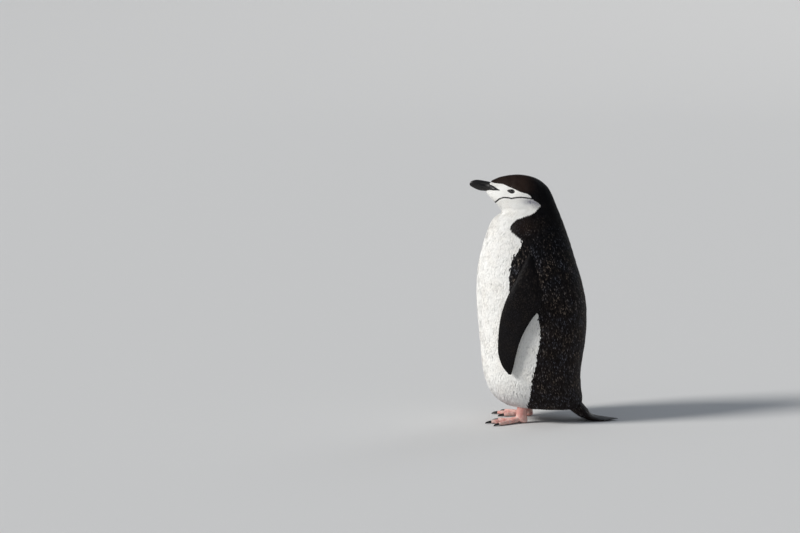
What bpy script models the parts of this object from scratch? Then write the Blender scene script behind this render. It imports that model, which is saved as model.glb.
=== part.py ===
"""A chinstrap penguin standing at rest, life size, as a set of closed solids.

Metres, +Z up. The bird faces -Y, its left side is +X, and its soles and tail tip lie on z = 0.
Trunk, neck and head are three lengths of one lofted body, parted by thin cuts. Every ring of that
loft is a flat oval that spans one front point and one back point of the bird's side profile.
"""

import bmesh
import bpy
import numpy as np

GAP = 0.0003  # clearance between pieces that touch
TRUNK_END = 8.45  # station at which the trunk is parted from the neck
NECK_END = 10.6  # station at which the neck is parted from the head
BODY_SEGMENTS = 36
TRUNK_RINGS = 22
NECK_RINGS = 7
HEAD_RINGS = 17
OVAL = 2.15  # exponent of the body's rings: 2 is an ellipse, more is squarer

# Side profile: front y, z, back y, z and half width of the body, from the vent up to the bill.
BODY_STATIONS = np.array(
    [
        (-0.0860, 0.0370, 0.0800, 0.0290, 0.0620),  # underside, between legs and tail
        (-0.1075, 0.0520, 0.0850, 0.0480, 0.0770),  # lower belly and rump
        (-0.1225, 0.0740, 0.0815, 0.0780, 0.0900),
        (-0.1345, 0.1150, 0.0812, 0.1150, 0.0980),
        (-0.1419, 0.1866, 0.0911, 0.1866, 0.1015),  # fullest part of the belly
        (-0.1476, 0.2500, 0.0922, 0.2500, 0.0970),
        (-0.1490, 0.3000, 0.0838, 0.3000, 0.0885),
        (-0.1445, 0.3500, 0.0690, 0.3500, 0.0775),  # shoulders
        (-0.1315, 0.4022, 0.0525, 0.4022, 0.0640),
        (-0.1155, 0.4422, 0.0378, 0.4433, 0.0520),  # upper breast
        (-0.0950, 0.4605, 0.0246, 0.4755, 0.0430),  # throat fold and lower nape
        (-0.1030, 0.4745, 0.0154, 0.4980, 0.0385),
        (-0.1130, 0.4850, 0.0026, 0.5188, 0.0352),  # cheeks and back of the crown
        (-0.1212, 0.4944, -0.0230, 0.5362, 0.0272),
        (-0.1272, 0.5015, -0.0594, 0.5428, 0.0172),  # crown above the eyes
        (-0.1296, 0.5052, -0.0950, 0.5382, 0.0118),
        (-0.1305, 0.5072, -0.1168, 0.5296, 0.0094),  # feather line round the bill
    ]
)
UNDERSIDE = (0.0050, 0.0290)  # y, z of the lowest point of the belly between the legs

# Bill: y, top z, parting z, bottom z and half width, from the tip back to the gape.
BILL_STATIONS = np.array(
    [
        (-0.1650, 0.5226, 0.5203, 0.5194, 0.0010),
        (-0.1628, 0.5266, 0.5192, 0.5170, 0.0025),
        (-0.1573, 0.5294, 0.5187, 0.5138, 0.0042),
        (-0.1500, 0.5308, 0.5175, 0.5102, 0.0053),
        (-0.1410, 0.5301, 0.5157, 0.5075, 0.0066),
        (-0.1309, 0.5284, 0.5134, 0.5066, 0.0083),
        (-0.1210, 0.5262, 0.5116, 0.5062, 0.0117),
        (-0.1100, 0.5200, 0.5104, 0.5066, 0.0174),
        (-0.0990, 0.5120, 0.5096, 0.5076, 0.0222),
    ]
)
BILL_RINGS = 17
BILL_SEGMENTS = 11  # points on each half of the bill

EYE_RADIUS = 0.0056
EYE_PLACE = (-0.0704, 0.5092)  # y, z of the eye's middle
EYE_SHOWS = 0.0016  # how far the eyeball stands out of the face

# Flipper: leading edge y, z, trailing edge y, z, thickness and distance off the flank.
FLIPPER_STATIONS = np.array(
    [
        (-0.0330, 0.3800, -0.0180, 0.3560, 0.0130, -0.0100),  # buried shoulder
        (-0.0500, 0.3470, -0.0085, 0.3240, 0.0150, -0.0045),
        (-0.0650, 0.3170, -0.0062, 0.2920, 0.0140, 0.0000),  # elbow
        (-0.0805, 0.2860, -0.0090, 0.2640, 0.0115, 0.0022),
        (-0.0920, 0.2530, -0.0270, 0.2400, 0.0092, 0.0036),
        (-0.0981, 0.2200, -0.0436, 0.2118, 0.0076, 0.0048),
        (-0.1003, 0.1860, -0.0537, 0.1870, 0.0062, 0.0060),
        (-0.0995, 0.1600, -0.0612, 0.1590, 0.0052, 0.0072),
        (-0.0912, 0.1350, -0.0667, 0.1330, 0.0040, 0.0084),
        (-0.0775, 0.1170, -0.0712, 0.1165, 0.0026, 0.0094),  # tip
    ]
)
FLIPPER_RINGS = 20
FLIPPER_CHORD_POINTS = 8
EDGE_THICKNESS = 0.0012

# Tail: y, z of its middle, half width and thickness, from inside the rump to the tip.
TAIL_STATIONS = np.array(
    [
        (0.0460, 0.0560, 0.0280, 0.0320),
        (0.0660, 0.0370, 0.0305, 0.0300),
        (0.0840, 0.0200, 0.0305, 0.0240),
        (0.1050, 0.0066, 0.0285, 0.0150),
        (0.1340, 0.0034, 0.0220, 0.0080),
        (0.1650, 0.0017, 0.0080, 0.0040),
    ]
)
TAIL_RINGS = 13
TAIL_SEGMENTS = 16

# Feet: fans of three webbed toes. Lengths run forward from the ankle, x is outwards.
FOOT_X = 0.044
FOOT_Y = {"left": -0.0500, "right": -0.0380}
TOE_OUT = np.radians(12)  # how far the middle toe turns outwards
TOE_SPREAD = np.radians(27)  # angle between one toe and the next
TOE_LENGTHS = {"inner": 0.0520, "middle": 0.0660, "outer": 0.0620}
TOE_SIDES = {"inner": -1, "middle": 0, "outer": 1}
TOE_HALF_WIDTH = 0.0054
TOE_HEIGHT = 0.0090
TOE_TIP = 0.20  # half angle of a toe's tip, as a share of the spread
TIP_OFFSETS = (-1, -0.85, -0.5, 0, 0.5, 0.85, 1)  # columns across a toe's tip
WEB_OFFSETS = (0.38, 0.5, 0.62)  # columns across the web between two toes
WEB_THICKNESS = 0.0026
WEB_REACH = 0.84  # web's edge midway between two toes, as a share of their length
HEEL_LENGTH = 0.0150
HEEL_HALF_WIDTH = 0.0095
ANKLE_HEIGHT = 0.0165
FOOT_ROWS = 11
CLAW_LENGTH = 0.0140
CLAW_RADIUS = 0.0033
CLAW_HEIGHT = 0.0042
HALLUX_ANGLE = np.radians(-75)  # the small hind toe sits low on the inner side of the ankle
HALLUX_REACH = 0.0120
HALLUX_HEIGHT = 0.0075
HALLUX_SIZE = 0.45
LEG_RADII = (0.0100, 0.0122)  # across and along
LEG_STATIONS = ((0.005, 1.0, 0.0), (0.014, 0.97, 0.0), (0.028, 1.05, 0.003), (0.064, 1.35, 0.010))
LEG_SEGMENTS = 18

COLOURS = {
    "black": ((0.016, 0.014, 0.015), 0.6),
    "white": ((0.83, 0.82, 0.78), 0.75),
    "bill": ((0.012, 0.012, 0.014), 0.3),
    "skin": ((0.72, 0.36, 0.34), 0.55),
    "claw": ((0.015, 0.013, 0.012), 0.4),
    "eye": ((0.045, 0.018, 0.010), 0.08),
}


def clear_scene():
    for obj in list(bpy.data.objects):
        bpy.data.objects.remove(obj)


def material(name):
    found = bpy.data.materials.get(name)
    if found:
        return found
    colour, roughness = COLOURS[name]
    made = bpy.data.materials.new(name)
    made.use_nodes = True
    shader = made.node_tree.nodes["Principled BSDF"]
    shader.inputs["Base Color"].default_value = (*colour, 1.0)
    shader.inputs["Roughness"].default_value = roughness
    shader.inputs["Metallic"].default_value = 0.0
    return made


def spline(table, t):
    """Rows of the table at the stations t, on a Catmull-Rom curve through its rows."""
    t = np.atleast_1d(np.asarray(t, float))
    last = len(table) - 1
    row = np.clip(np.floor(t).astype(int), 0, last - 1)
    f = (t - row)[:, None]
    before = np.where(row[:, None] > 0, table[np.maximum(row - 1, 0)], 2 * table[0] - table[1])
    a, b = table[row], table[row + 1]
    after_end = 2 * table[last] - table[last - 1]
    after = np.where(row[:, None] + 2 <= last, table[np.minimum(row + 2, last)], after_end)
    return a + 0.5 * f * (
        (b - before) + f * ((2 * before - 5 * a + 4 * b - after) + f * (3 * (a - b) + after - before))
    )


def body_ring(t, count=BODY_SEGMENTS, grow=0.0):
    """One flat oval of the body at station t, as count points, from the back round the left side."""
    front_y, front_z, back_y, back_z, half = spline(BODY_STATIONS, t)[0]
    front, back = np.array((front_y, front_z)), np.array((back_y, back_z))
    along = (back - front) / np.linalg.norm(back - front)
    front, back, half = front - grow * along, back + grow * along, half + grow
    turn = 2 * np.pi * np.arange(count) / count
    c, s = np.cos(turn), np.sin(turn)
    c = np.sign(c) * np.abs(c) ** (2 / OVAL)
    s = np.sign(s) * np.abs(s) ** (2 / OVAL)
    middle = (front + back) / 2 + c[:, None] * (back - front) / 2
    return np.column_stack([half * s, middle])


def ring_normal(t):
    """Unit normal of the ring at station t, towards the head."""
    front_y, front_z, back_y, back_z, _ = spline(BODY_STATIONS, t)[0]
    along = np.array((0.0, back_y - front_y, back_z - front_z))
    normal = np.cross((1.0, 0.0, 0.0), along)
    return normal / np.linalg.norm(normal)


def side_x(y, z):
    """Distance from the middle plane to the body's flank at a place in the side view."""
    low, high = 0.0, len(BODY_STATIONS) - 1.0
    for _ in range(40):
        t = (low + high) / 2
        front_y, front_z, back_y, back_z, half = spline(BODY_STATIONS, t)[0]
        across = (back_y - front_y) * (z - front_z) - (back_z - front_z) * (y - front_y)
        if across > 0:
            low = t
        else:
            high = t
    span = np.array((back_y - front_y, back_z - front_z))
    share = ((y - front_y) * span[0] + (z - front_z) * span[1]) / (span @ span)
    c = min(abs(2 * share - 1), 1.0)
    return half * (1 - c**OVAL) ** (1 / OVAL)


def rings_to_mesh(name, rings, start=None, end=None):
    """A closed mesh through rings of equal count, capped flat or with a point at each end."""
    mesh = bpy.data.meshes.new(name)
    build = bmesh.new()
    loops = [[build.verts.new(p) for p in ring] for ring in rings]
    for lower, upper in zip(loops, loops[1:]):
        count = len(lower)
        for k in range(count):
            n = (k + 1) % count
            build.faces.new((lower[k], lower[n], upper[n], upper[k]))
    for loop, tip in ((loops[0], start), (loops[-1], end)):
        if tip is None:
            build.faces.new(loop)
        else:
            point = build.verts.new(tip)
            for k in range(len(loop)):
                build.faces.new((loop[k], loop[(k + 1) % len(loop)], point))
    bmesh.ops.recalc_face_normals(build, faces=build.faces)
    if build.calc_volume(signed=True) < 0:
        bmesh.ops.reverse_faces(build, faces=build.faces)
    build.to_mesh(mesh)
    build.free()
    return mesh


def add_object(name, mesh, material_name):
    obj = bpy.data.objects.new(name, mesh)
    bpy.context.scene.collection.objects.link(obj)
    mesh.materials.append(material(material_name))
    mesh.shade_smooth()
    return obj


def add_cutter(name, mesh):
    obj = add_object(name, mesh, "black")
    obj.hide_render = True
    obj.display_type = "WIRE"
    return obj


def cut(obj, cutter):
    modifier = obj.modifiers.new("cut_" + cutter.name, "BOOLEAN")
    modifier.operation = "DIFFERENCE"
    modifier.object = cutter


def mirrored(rings):
    return [ring * (-1, 1, 1) for ring in rings]


def body_length(first, last, count, ends=(0.0, 0.0), grow=0.0):
    """Rings from station first to last, spaced by distance, the end ones moved by ends along their normals."""
    fine = np.linspace(first, last, 240)
    rows = spline(BODY_STATIONS, fine)
    steps = np.linalg.norm(np.diff(rows[:, :4], axis=0), axis=1)
    way = np.concatenate([[0], np.cumsum(steps)])
    stations = np.interp(np.linspace(0, way[-1], count), way, fine)
    rings = [body_ring(t, grow=grow) for t in stations]
    rings[0] = rings[0] + ring_normal(first) * ends[0]
    rings[-1] = rings[-1] + ring_normal(last) * ends[1]
    return rings


def underside_rings(grow=0.0):
    """The rounded bottom of the trunk, from near its lowest point out to the first station."""
    rim = body_ring(0.0, grow=grow)
    lowest = np.array((0.0, *UNDERSIDE)) - (0, 0, grow)
    rings = []
    for share in (0.3, 0.6, 0.85):
        flat = lowest + (rim - lowest) * share
        flat[:, 2] = lowest[2] + (rim[:, 2] - lowest[2]) * (1 - np.sqrt(1 - share**2))
        rings.append(flat)
    return rings, lowest


def trunk_mesh(name, grow=0.0):
    dome, lowest = underside_rings(grow)
    rings = dome + body_length(0.0, TRUNK_END, TRUNK_RINGS, (0.0, -GAP / 2), grow)
    return rings_to_mesh(name, rings, start=lowest)


def bill_rows():
    return spline(BILL_STATIONS, np.linspace(0, len(BILL_STATIONS) - 1, BILL_RINGS))


def bill_mesh(name, upper):
    """One half of the bill: at each row a rounded wall over a flat parting face."""
    turn = np.linspace(0, np.pi, BILL_SEGMENTS)
    rings = []
    for y, top, parting, bottom, half in bill_rows():
        edge = parting + GAP / 2 if upper else parting - GAP / 2
        far = top if upper else bottom
        width = half if upper else half * 0.94
        wall = edge + (far - edge) * np.sin(turn) ** 0.8
        rings.append(np.column_stack([width * np.cos(turn), np.full(BILL_SEGMENTS, y), wall]))
    return rings_to_mesh(name, rings)


def bill_room():
    """What the bill takes out of the face: both halves together, larger by the gap."""
    turn = np.linspace(0, 2 * np.pi, 2 * BILL_SEGMENTS - 1)[:-1]
    rise = np.sign(np.round(np.sin(turn), 6)) * np.abs(np.sin(turn)) ** 0.8
    rings = []
    for y, top, parting, bottom, half in bill_rows():
        height = rise * np.where(rise > 0, top - parting, parting - bottom) + 1.5 * GAP * np.sign(rise)
        across = (half + 2 * GAP) * np.cos(turn)
        rings.append(np.column_stack([across, np.full(len(turn), y), parting + height]))
    rings[-1][:, 1] += GAP
    return rings_to_mesh("bill_room", rings)


def build_body():
    trunk = add_object("trunk", trunk_mesh("trunk"), "white")
    neck_rings = body_length(TRUNK_END, NECK_END, NECK_RINGS, (GAP / 2, -GAP / 2))
    add_object("neck", rings_to_mesh("neck", neck_rings), "black")
    last = len(BODY_STATIONS) - 1.0
    head_rings = body_length(NECK_END, last, HEAD_RINGS, (GAP / 2, 0.0))
    head = add_object("head", rings_to_mesh("head", head_rings), "black")
    cut(head, add_cutter("bill_room", bill_room()))
    return trunk, head


def build_bill():
    add_object("bill_upper", bill_mesh("bill_upper", True), "bill")
    add_object("bill_lower", bill_mesh("bill_lower", False), "bill")


def ball(name, radius):
    mesh = bpy.data.meshes.new(name)
    build = bmesh.new()
    bmesh.ops.create_uvsphere(build, u_segments=14, v_segments=8, radius=radius)
    build.to_mesh(mesh)
    build.free()
    return mesh


def build_eyes(head):
    y, z = EYE_PLACE
    x = side_x(y, z) + EYE_SHOWS - EYE_RADIUS
    for side, sign in (("left", 1), ("right", -1)):
        eye = add_object("eye_" + side, ball("eye_" + side, EYE_RADIUS), "eye")
        socket = add_cutter("socket_" + side, ball("socket_" + side, EYE_RADIUS + GAP))
        for obj in (eye, socket):
            obj.location = (sign * x, y, z)
            obj.rotation_euler = (0, np.pi / 2, 0)
        cut(head, socket)


def flipper_rings():
    """Closed sections of the left flipper, each a thin blade lying along the flank."""
    rows = spline(FLIPPER_STATIONS, np.linspace(0, len(FLIPPER_STATIONS) - 1, FLIPPER_RINGS))
    chord = np.linspace(0, 1, FLIPPER_CHORD_POINTS)
    fullness = np.sqrt(np.clip(chord, 0, 1)) * (1 - chord) ** 0.8
    fullness /= fullness.max()
    rings = []
    for lead_y, lead_z, trail_y, trail_z, thickness, off in rows:
        lead, trail = np.array((lead_y, lead_z)), np.array((trail_y, trail_z))
        near_lead, near_trail = lead * 0.8 + trail * 0.2, lead * 0.2 + trail * 0.8
        slope = (side_x(*near_trail) - side_x(*near_lead)) / 0.6
        middle = side_x(*(lead + trail) / 2)
        blade_x = middle + off + thickness / 2 + slope * (chord - 0.5)
        half = np.maximum(thickness * fullness, EDGE_THICKNESS) / 2
        places = lead + chord[:, None] * (trail - lead)
        outer = np.column_stack([blade_x + half, places])
        inner = np.column_stack([blade_x - half, places])
        rings.append(np.concatenate([outer, inner[::-1]]))
    return rings


def build_flippers():
    clearance = add_cutter("trunk_clearance", trunk_mesh("trunk_clearance", GAP))
    rings = flipper_rings()
    for name, sections in (("flipper_left", rings), ("flipper_right", mirrored(rings))):
        flipper = add_object(name, rings_to_mesh(name, sections), "black")
        cut(flipper, clearance)


def tail_rings(grow=0.0):
    """Ovals along the tail, with a flat underside where it lies on the ground."""
    rows = spline(TAIL_STATIONS, np.linspace(0, len(TAIL_STATIONS) - 1, TAIL_RINGS))
    turn = 2 * np.pi * np.arange(TAIL_SEGMENTS) / TAIL_SEGMENTS
    slopes = np.gradient(rows[:, :2], axis=0)
    rings = []
    for (y, z, half, thickness), (run, fall) in zip(rows, slopes):
        length = np.hypot(run, fall)
        rise = (thickness / 2 + grow) * np.sin(turn)
        ring = np.column_stack(
            [(half + grow) * np.cos(turn), y - rise * fall / length, z + rise * run / length]
        )
        ring[:, 2] = np.maximum(ring[:, 2], -grow)
        rings.append(ring)
    return rings


def build_tail(trunk):
    add_object("tail", rings_to_mesh("tail", tail_rings()), "black")
    cut(trunk, add_cutter("tail_root", rings_to_mesh("tail_root", tail_rings(GAP))))


def toe_columns():
    """Sideways angles of the foot's columns, in units of the spread: dense across each toe's tip."""
    tips = [side + TOE_TIP * offset for side in TOE_SIDES.values() for offset in TIP_OFFSETS]
    webs = [side + offset for side in (-1, 0) for offset in WEB_OFFSETS]
    return np.array(sorted(tips + webs))


def toe_reach(lateral):
    """Distance from the ankle to the foot's edge at each sideways angle: web, and a round tip per toe."""
    edges = [side + offset for side in TOE_SIDES.values() for offset in (-TOE_TIP, TOE_TIP)]
    length = np.interp(lateral, edges, np.repeat(list(TOE_LENGTHS.values()), 2))
    off = np.min([np.abs(lateral - side) for side in TOE_SIDES.values()], axis=0)
    tip = np.sqrt(np.clip(1 - (off / TOE_TIP) ** 2, 0, 1))
    sag = np.clip((off - TOE_TIP) / (0.5 - TOE_TIP), 0, 1)
    web = WEB_REACH + 0.04 * (1 - sag) ** 2
    outside = np.clip(np.abs(lateral) - 1, 0, 1) / TOE_TIP
    return length * (web * (1 - 0.12 * outside) + (1 - web) * tip)


def foot_surface():
    """Top of the left foot on a grid, in the foot's own axes: x outwards, y backwards, z up."""
    lateral = toe_columns()[:, None]
    way = np.linspace(0, 1, FOOT_ROWS)[None, :]
    reach = toe_reach(lateral)
    distance = -HEEL_LENGTH + (reach + HEEL_LENGTH) * way
    angle = lateral * TOE_SPREAD
    ahead = np.clip(distance, 0, None)
    behind = np.clip(-distance / HEEL_LENGTH, 0, 1)
    root = lateral / (1 + TOE_TIP) * HEEL_HALF_WIDTH * np.sqrt(np.clip(1.04 - behind**2, 0, 1))
    root = root * np.clip(1 - ahead / 0.030, 0, 1)
    x = root + ahead * np.sin(angle)
    forward = np.where(distance > 0, ahead * np.cos(angle), distance)
    height = np.full(x.shape, WEB_THICKNESS)
    for side in TOE_SIDES.values():
        axis = side * TOE_SPREAD
        off = x * np.cos(axis) - forward * np.sin(axis)
        along = x * np.sin(axis) + forward * np.cos(axis)
        ridge = np.sqrt(np.clip(1 - (off / TOE_HALF_WIDTH) ** 2, 0, 1)) * (along > -HEEL_LENGTH)
        taper = np.interp(along / list(TOE_LENGTHS.values())[side + 1], (0, 0.8, 1.0), (1, 0.82, 0.62))
        height = np.maximum(height, WEB_THICKNESS + (TOE_HEIGHT - WEB_THICKNESS) * ridge * taper)
    near = np.clip(1 - np.hypot(x / 0.0135, forward / 0.024), 0, 1)
    height = height + (ANKLE_HEIGHT - TOE_HEIGHT) * np.sin(near * np.pi / 2)
    back = np.clip((distance + HEEL_LENGTH) / 0.006, 0, 1)
    height = WEB_THICKNESS + (height - WEB_THICKNESS) * np.sqrt(back)
    return np.stack([x, -forward, height], axis=-1)


def place_foot(points, side):
    """Turns points from the left foot's own axes and sets them down on one side of the bird."""
    c, s = np.cos(TOE_OUT), np.sin(TOE_OUT)
    x, y, z = points[..., 0], points[..., 1], points[..., 2]
    turned = np.stack([x * c - y * s + FOOT_X, x * s + y * c, z], axis=-1)
    turned[..., 1] += FOOT_Y[side]
    return turned if side == "left" else turned * (-1, 1, 1)


def foot_mesh(name, side):
    """The foot: its domed top, an upright rim and a flat sole on the ground."""
    grid = place_foot(foot_surface(), side)
    across, along = grid.shape[:2]
    mesh = bpy.data.meshes.new(name)
    build = bmesh.new()
    top = [[build.verts.new(p) for p in row] for row in grid]
    for i in range(across - 1):
        for j in range(along - 1):
            build.faces.new((top[i][j], top[i + 1][j], top[i + 1][j + 1], top[i][j + 1]))
    rim = [(i, 0) for i in range(across)] + [(across - 1, j) for j in range(1, along)]
    rim += [(i, along - 1) for i in range(across - 2, -1, -1)] + [(0, j) for j in range(along - 2, 0, -1)]
    sole = [build.verts.new((*grid[i, j, :2], 0.0)) for i, j in rim]
    for k, (i, j) in enumerate(rim):
        n = (k + 1) % len(rim)
        build.faces.new((top[i][j], sole[k], sole[n], top[rim[n][0]][rim[n][1]]))
    build.faces.new(sole)
    bmesh.ops.recalc_face_normals(build, faces=build.faces)
    build.to_mesh(mesh)
    build.free()
    return mesh


def leg_mesh(name, side, grow=0.0):
    """The short shank, from the ankle up into the belly feathers."""
    across, along = LEG_RADII
    turn = 2 * np.pi * np.arange(LEG_SEGMENTS) / LEG_SEGMENTS
    rings = []
    for z, spread, lean in LEG_STATIONS:
        ring = np.column_stack(
            [
                (across * spread + grow) * np.cos(turn),
                (along * spread + grow) * np.sin(turn) + lean,
                np.full(LEG_SEGMENTS, z),
            ]
        )
        rings.append(place_foot(ring, side))
    rings[0][:, 2] -= grow
    rings[-1][:, 2] += grow
    return rings_to_mesh(name, rings)


def claw_rings(root, heading, length, radius):
    """A claw in the foot's own axes, curving down from root to a blunt point near the ground."""
    turn = 2 * np.pi * np.arange(8) / 8
    rings = []
    for share in (0.0, 0.25, 0.5, 0.75, 0.95):
        size = radius * (1 - share) ** 0.6
        reach = length * np.sin(share * np.pi / 2 * 0.9)
        height = root[2] - (root[2] - 0.0012) * share**1.6
        middle = np.array((root[0] + heading[0] * reach, root[1] + heading[1] * reach, height))
        side = np.array((heading[1], -heading[0], 0.0))
        ring = middle + size * 0.85 * np.cos(turn)[:, None] * side
        ring[:, 2] += size * np.sin(turn)
        ring[:, 2] = np.maximum(ring[:, 2], 0.0)
        rings.append(ring)
    return rings


def add_claw(name, side, angle, reach, height, size=1.0):
    """One claw at a distance from the ankle, on the bearing that its toe points along."""
    heading = np.array((np.sin(angle), -np.cos(angle)))
    root = (heading[0] * reach, heading[1] * reach, height)
    rings = claw_rings(root, heading, CLAW_LENGTH * size, CLAW_RADIUS * size)
    add_object(name, rings_to_mesh(name, [place_foot(ring, side) for ring in rings]), "claw")


def build_feet(trunk):
    for side in ("left", "right"):
        foot = add_object("foot_" + side, foot_mesh("foot_" + side, side), "skin")
        add_object("leg_" + side, leg_mesh("leg_" + side, side), "skin")
        leg_room = add_cutter("leg_room_" + side, leg_mesh("leg_room_" + side, side, GAP))
        cut(foot, leg_room)
        cut(trunk, leg_room)
        for toe, lateral in TOE_SIDES.items():
            reach = TOE_LENGTHS[toe] + GAP
            add_claw(f"claw_{side}_{toe}", side, TOE_SPREAD * lateral, reach, CLAW_HEIGHT)
        add_claw("claw_" + side + "_hind", side, HALLUX_ANGLE, HALLUX_REACH, HALLUX_HEIGHT, HALLUX_SIZE)


def main():
    clear_scene()
    trunk, head = build_body()
    build_bill()
    build_eyes(head)
    build_flippers()
    build_tail(trunk)
    build_feet(trunk)


main()
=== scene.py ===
import bpy
import numpy as np
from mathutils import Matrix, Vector


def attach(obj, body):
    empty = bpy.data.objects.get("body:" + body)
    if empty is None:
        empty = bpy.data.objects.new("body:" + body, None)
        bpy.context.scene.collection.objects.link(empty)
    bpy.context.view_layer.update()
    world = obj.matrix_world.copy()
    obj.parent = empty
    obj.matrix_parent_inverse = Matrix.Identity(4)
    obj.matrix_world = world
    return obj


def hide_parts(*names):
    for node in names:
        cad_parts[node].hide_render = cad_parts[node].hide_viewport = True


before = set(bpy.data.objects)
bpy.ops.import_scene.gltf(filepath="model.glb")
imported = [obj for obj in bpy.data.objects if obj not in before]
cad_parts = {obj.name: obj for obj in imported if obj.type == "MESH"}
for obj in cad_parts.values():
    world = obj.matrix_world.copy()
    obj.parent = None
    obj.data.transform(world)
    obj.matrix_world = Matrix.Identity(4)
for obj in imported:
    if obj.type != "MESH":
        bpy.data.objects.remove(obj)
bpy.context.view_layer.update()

rng = np.random.default_rng(11)
print("frame loaded:", len(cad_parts), "nodes")

# the bird's own shape: side profile from the vent up to the bill, as in the solids
bodyShape = {
    "stations": np.array([      # front y, front z, back y, back z, half width
        (-0.0860, 0.0370, 0.0800, 0.0290, 0.0620),
        (-0.1075, 0.0520, 0.0850, 0.0480, 0.0770),
        (-0.1225, 0.0740, 0.0815, 0.0780, 0.0900),
        (-0.1345, 0.1150, 0.0812, 0.1150, 0.0980),
        (-0.1419, 0.1866, 0.0911, 0.1866, 0.1015),
        (-0.1476, 0.2500, 0.0922, 0.2500, 0.0970),
        (-0.1490, 0.3000, 0.0838, 0.3000, 0.0885),
        (-0.1445, 0.3500, 0.0690, 0.3500, 0.0775),
        (-0.1315, 0.4022, 0.0525, 0.4022, 0.0640),
        (-0.1155, 0.4422, 0.0378, 0.4433, 0.0520),
        (-0.0950, 0.4605, 0.0246, 0.4755, 0.0430),
        (-0.1030, 0.4745, 0.0154, 0.4980, 0.0385),
        (-0.1130, 0.4850, 0.0026, 0.5188, 0.0352),
        (-0.1212, 0.4944, -0.0230, 0.5362, 0.0272),
        (-0.1272, 0.5015, -0.0594, 0.5428, 0.0172),
        (-0.1296, 0.5052, -0.0950, 0.5382, 0.0118),
        (-0.1305, 0.5072, -0.1168, 0.5296, 0.0094),
    ]),
    "bottom": np.array((0.0, 0.0050, 0.0290)),
    "oval": 2.15,
    "rows": 620,
    "columns": 320,
    "eye": (0.0728, 0.5087),    # distance ahead of the middle, height
    "lead": np.array([          # z, y of the flipper's front edge, where the shoulder swells behind it
        (0.2640, -0.0880), (0.2860, -0.0805), (0.3170, -0.0650), (0.3470, -0.0500), (0.3800, -0.0330)]),
    "trail": np.array([         # z, y of its rear edge
        (0.2640, -0.0090), (0.2920, -0.0062), (0.3240, -0.0085), (0.3560, -0.0180), (0.3800, -0.0250)]),
    "shoulder": np.array([      # z, height of the swelling
        (0.2580, 0.0), (0.2720, 0.0016), (0.2880, 0.0075), (0.3050, 0.0085), (0.3240, 0.0066),
        (0.3450, 0.0045), (0.3650, 0.0015), (0.3850, 0.0)]),
}

# coat depth, vane length, width and area for each vane, by place on the bird
coatShape = {
    "depth": {"trunk": 0.0030, "neck": 0.0022, "head": 0.0011, "face": 0.0006},
    "length": {"trunk": 0.0150, "neck": 0.0105, "head": 0.0064, "face": 0.0040},
    "width": {"trunk": 0.0036, "neck": 0.0026, "head": 0.0018, "face": 0.0011},
    "each": {"trunk": 7.7e-6, "neck": 4.2e-6, "head": 2.0e-6, "face": 0.86e-6},
    "bands": ("rump", "belly", "flanks", "breast", "shoulders", "collar", "crown", "face"),
}


# value of a Catmull-Rom curve through the table's rows:
# a + f/2 (b - p + f (2p - 5a + 4b - q + f (3a - 3b + q - p)))
def curveAt(table, t):
    last = len(table) - 1
    row = np.clip(np.floor(t).astype(int), 0, last - 1)
    f = (t - row)[..., None]
    p = np.where(row[..., None] > 0, table[np.maximum(row - 1, 0)], 2 * table[0] - table[1])
    a, b = table[row], table[row + 1]
    q = np.where(row[..., None] + 2 <= last, table[np.minimum(row + 2, last)], 2 * table[last] - table[last - 1])
    return a + 0.5 * f * ((b - p) + f * ((2 * p - 5 * a + 4 * b - q) + f * (3 * (a - b) + q - p)))


# 0 to 1 with level ends: 3 x^2 - 2 x^3
def ease(x):
    x = np.clip(x, 0, 1)
    return x * x * (3 - 2 * x)


# point of the body: below q = 1 a shallow bowl, above it an oval between the front and back points at q - 1,
# x = half |sin|^(2/n), along = middle + |cos|^(2/n) half span
def bodyPoint(q, turn):
    row = curveAt(bodyShape["stations"], np.clip(q - 1, 0, None))
    c, s = np.cos(turn), np.sin(turn)
    power = 2 / bodyShape["oval"]
    c, s = np.sign(c) * np.abs(c) ** power, np.sign(s) * np.abs(s) ** power
    y = (row[..., 0] + row[..., 2]) / 2 + c * (row[..., 2] - row[..., 0]) / 2
    z = (row[..., 1] + row[..., 3]) / 2 + c * (row[..., 3] - row[..., 1]) / 2
    p = np.stack([row[..., 4] * s, y, z], axis=-1)
    share = np.clip(q, 0, 1)[..., None]
    bowl = np.concatenate([share, share, share ** 2.2], axis=-1)
    return bodyShape["bottom"] + (p - bodyShape["bottom"]) * bowl


# soft swellings and hollows of the head, neck and shoulders: sum of height exp(-distance^2)
def relief(p):
    ax, y, z = np.abs(p[..., 0]), p[..., 1], p[..., 2]
    eyeY, eyeZ = -bodyShape["eye"][0], bodyShape["eye"][1]
    side = np.clip(ax / 0.02, 0, 1)

    def bump(atY, atZ, reachY, reachZ, height):
        return height * side * np.exp(-((y - atY) / reachY) ** 2 - ((z - atZ) / reachZ) ** 2)

    total = bump(eyeY, eyeZ, 0.0105, 0.0070, -0.0014)
    total += bump(eyeY + 0.004, eyeZ + 0.0105, 0.016, 0.0055, 0.0009)
    total += bump(eyeY + 0.016, eyeZ - 0.013, 0.016, 0.010, 0.0014)
    total += bump(-0.100, 0.4950, 0.012, 0.008, 0.0007)
    total += bump(-0.030, 0.4700, 0.040, 0.0060, -0.0020)
    total += bump(-0.040, 0.4560, 0.045, 0.0100, 0.0016)
    lead = np.interp(z, *bodyShape["lead"].T)
    trail = np.interp(z, *bodyShape["trail"].T)
    behind = ease((y - lead) / (0.35 * (trail - lead))) * (1 - ease((y - trail) / 0.050))
    total += np.interp(z, *bodyShape["shoulder"].T) * behind * np.clip(ax / 0.04, 0, 1)
    return total


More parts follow.
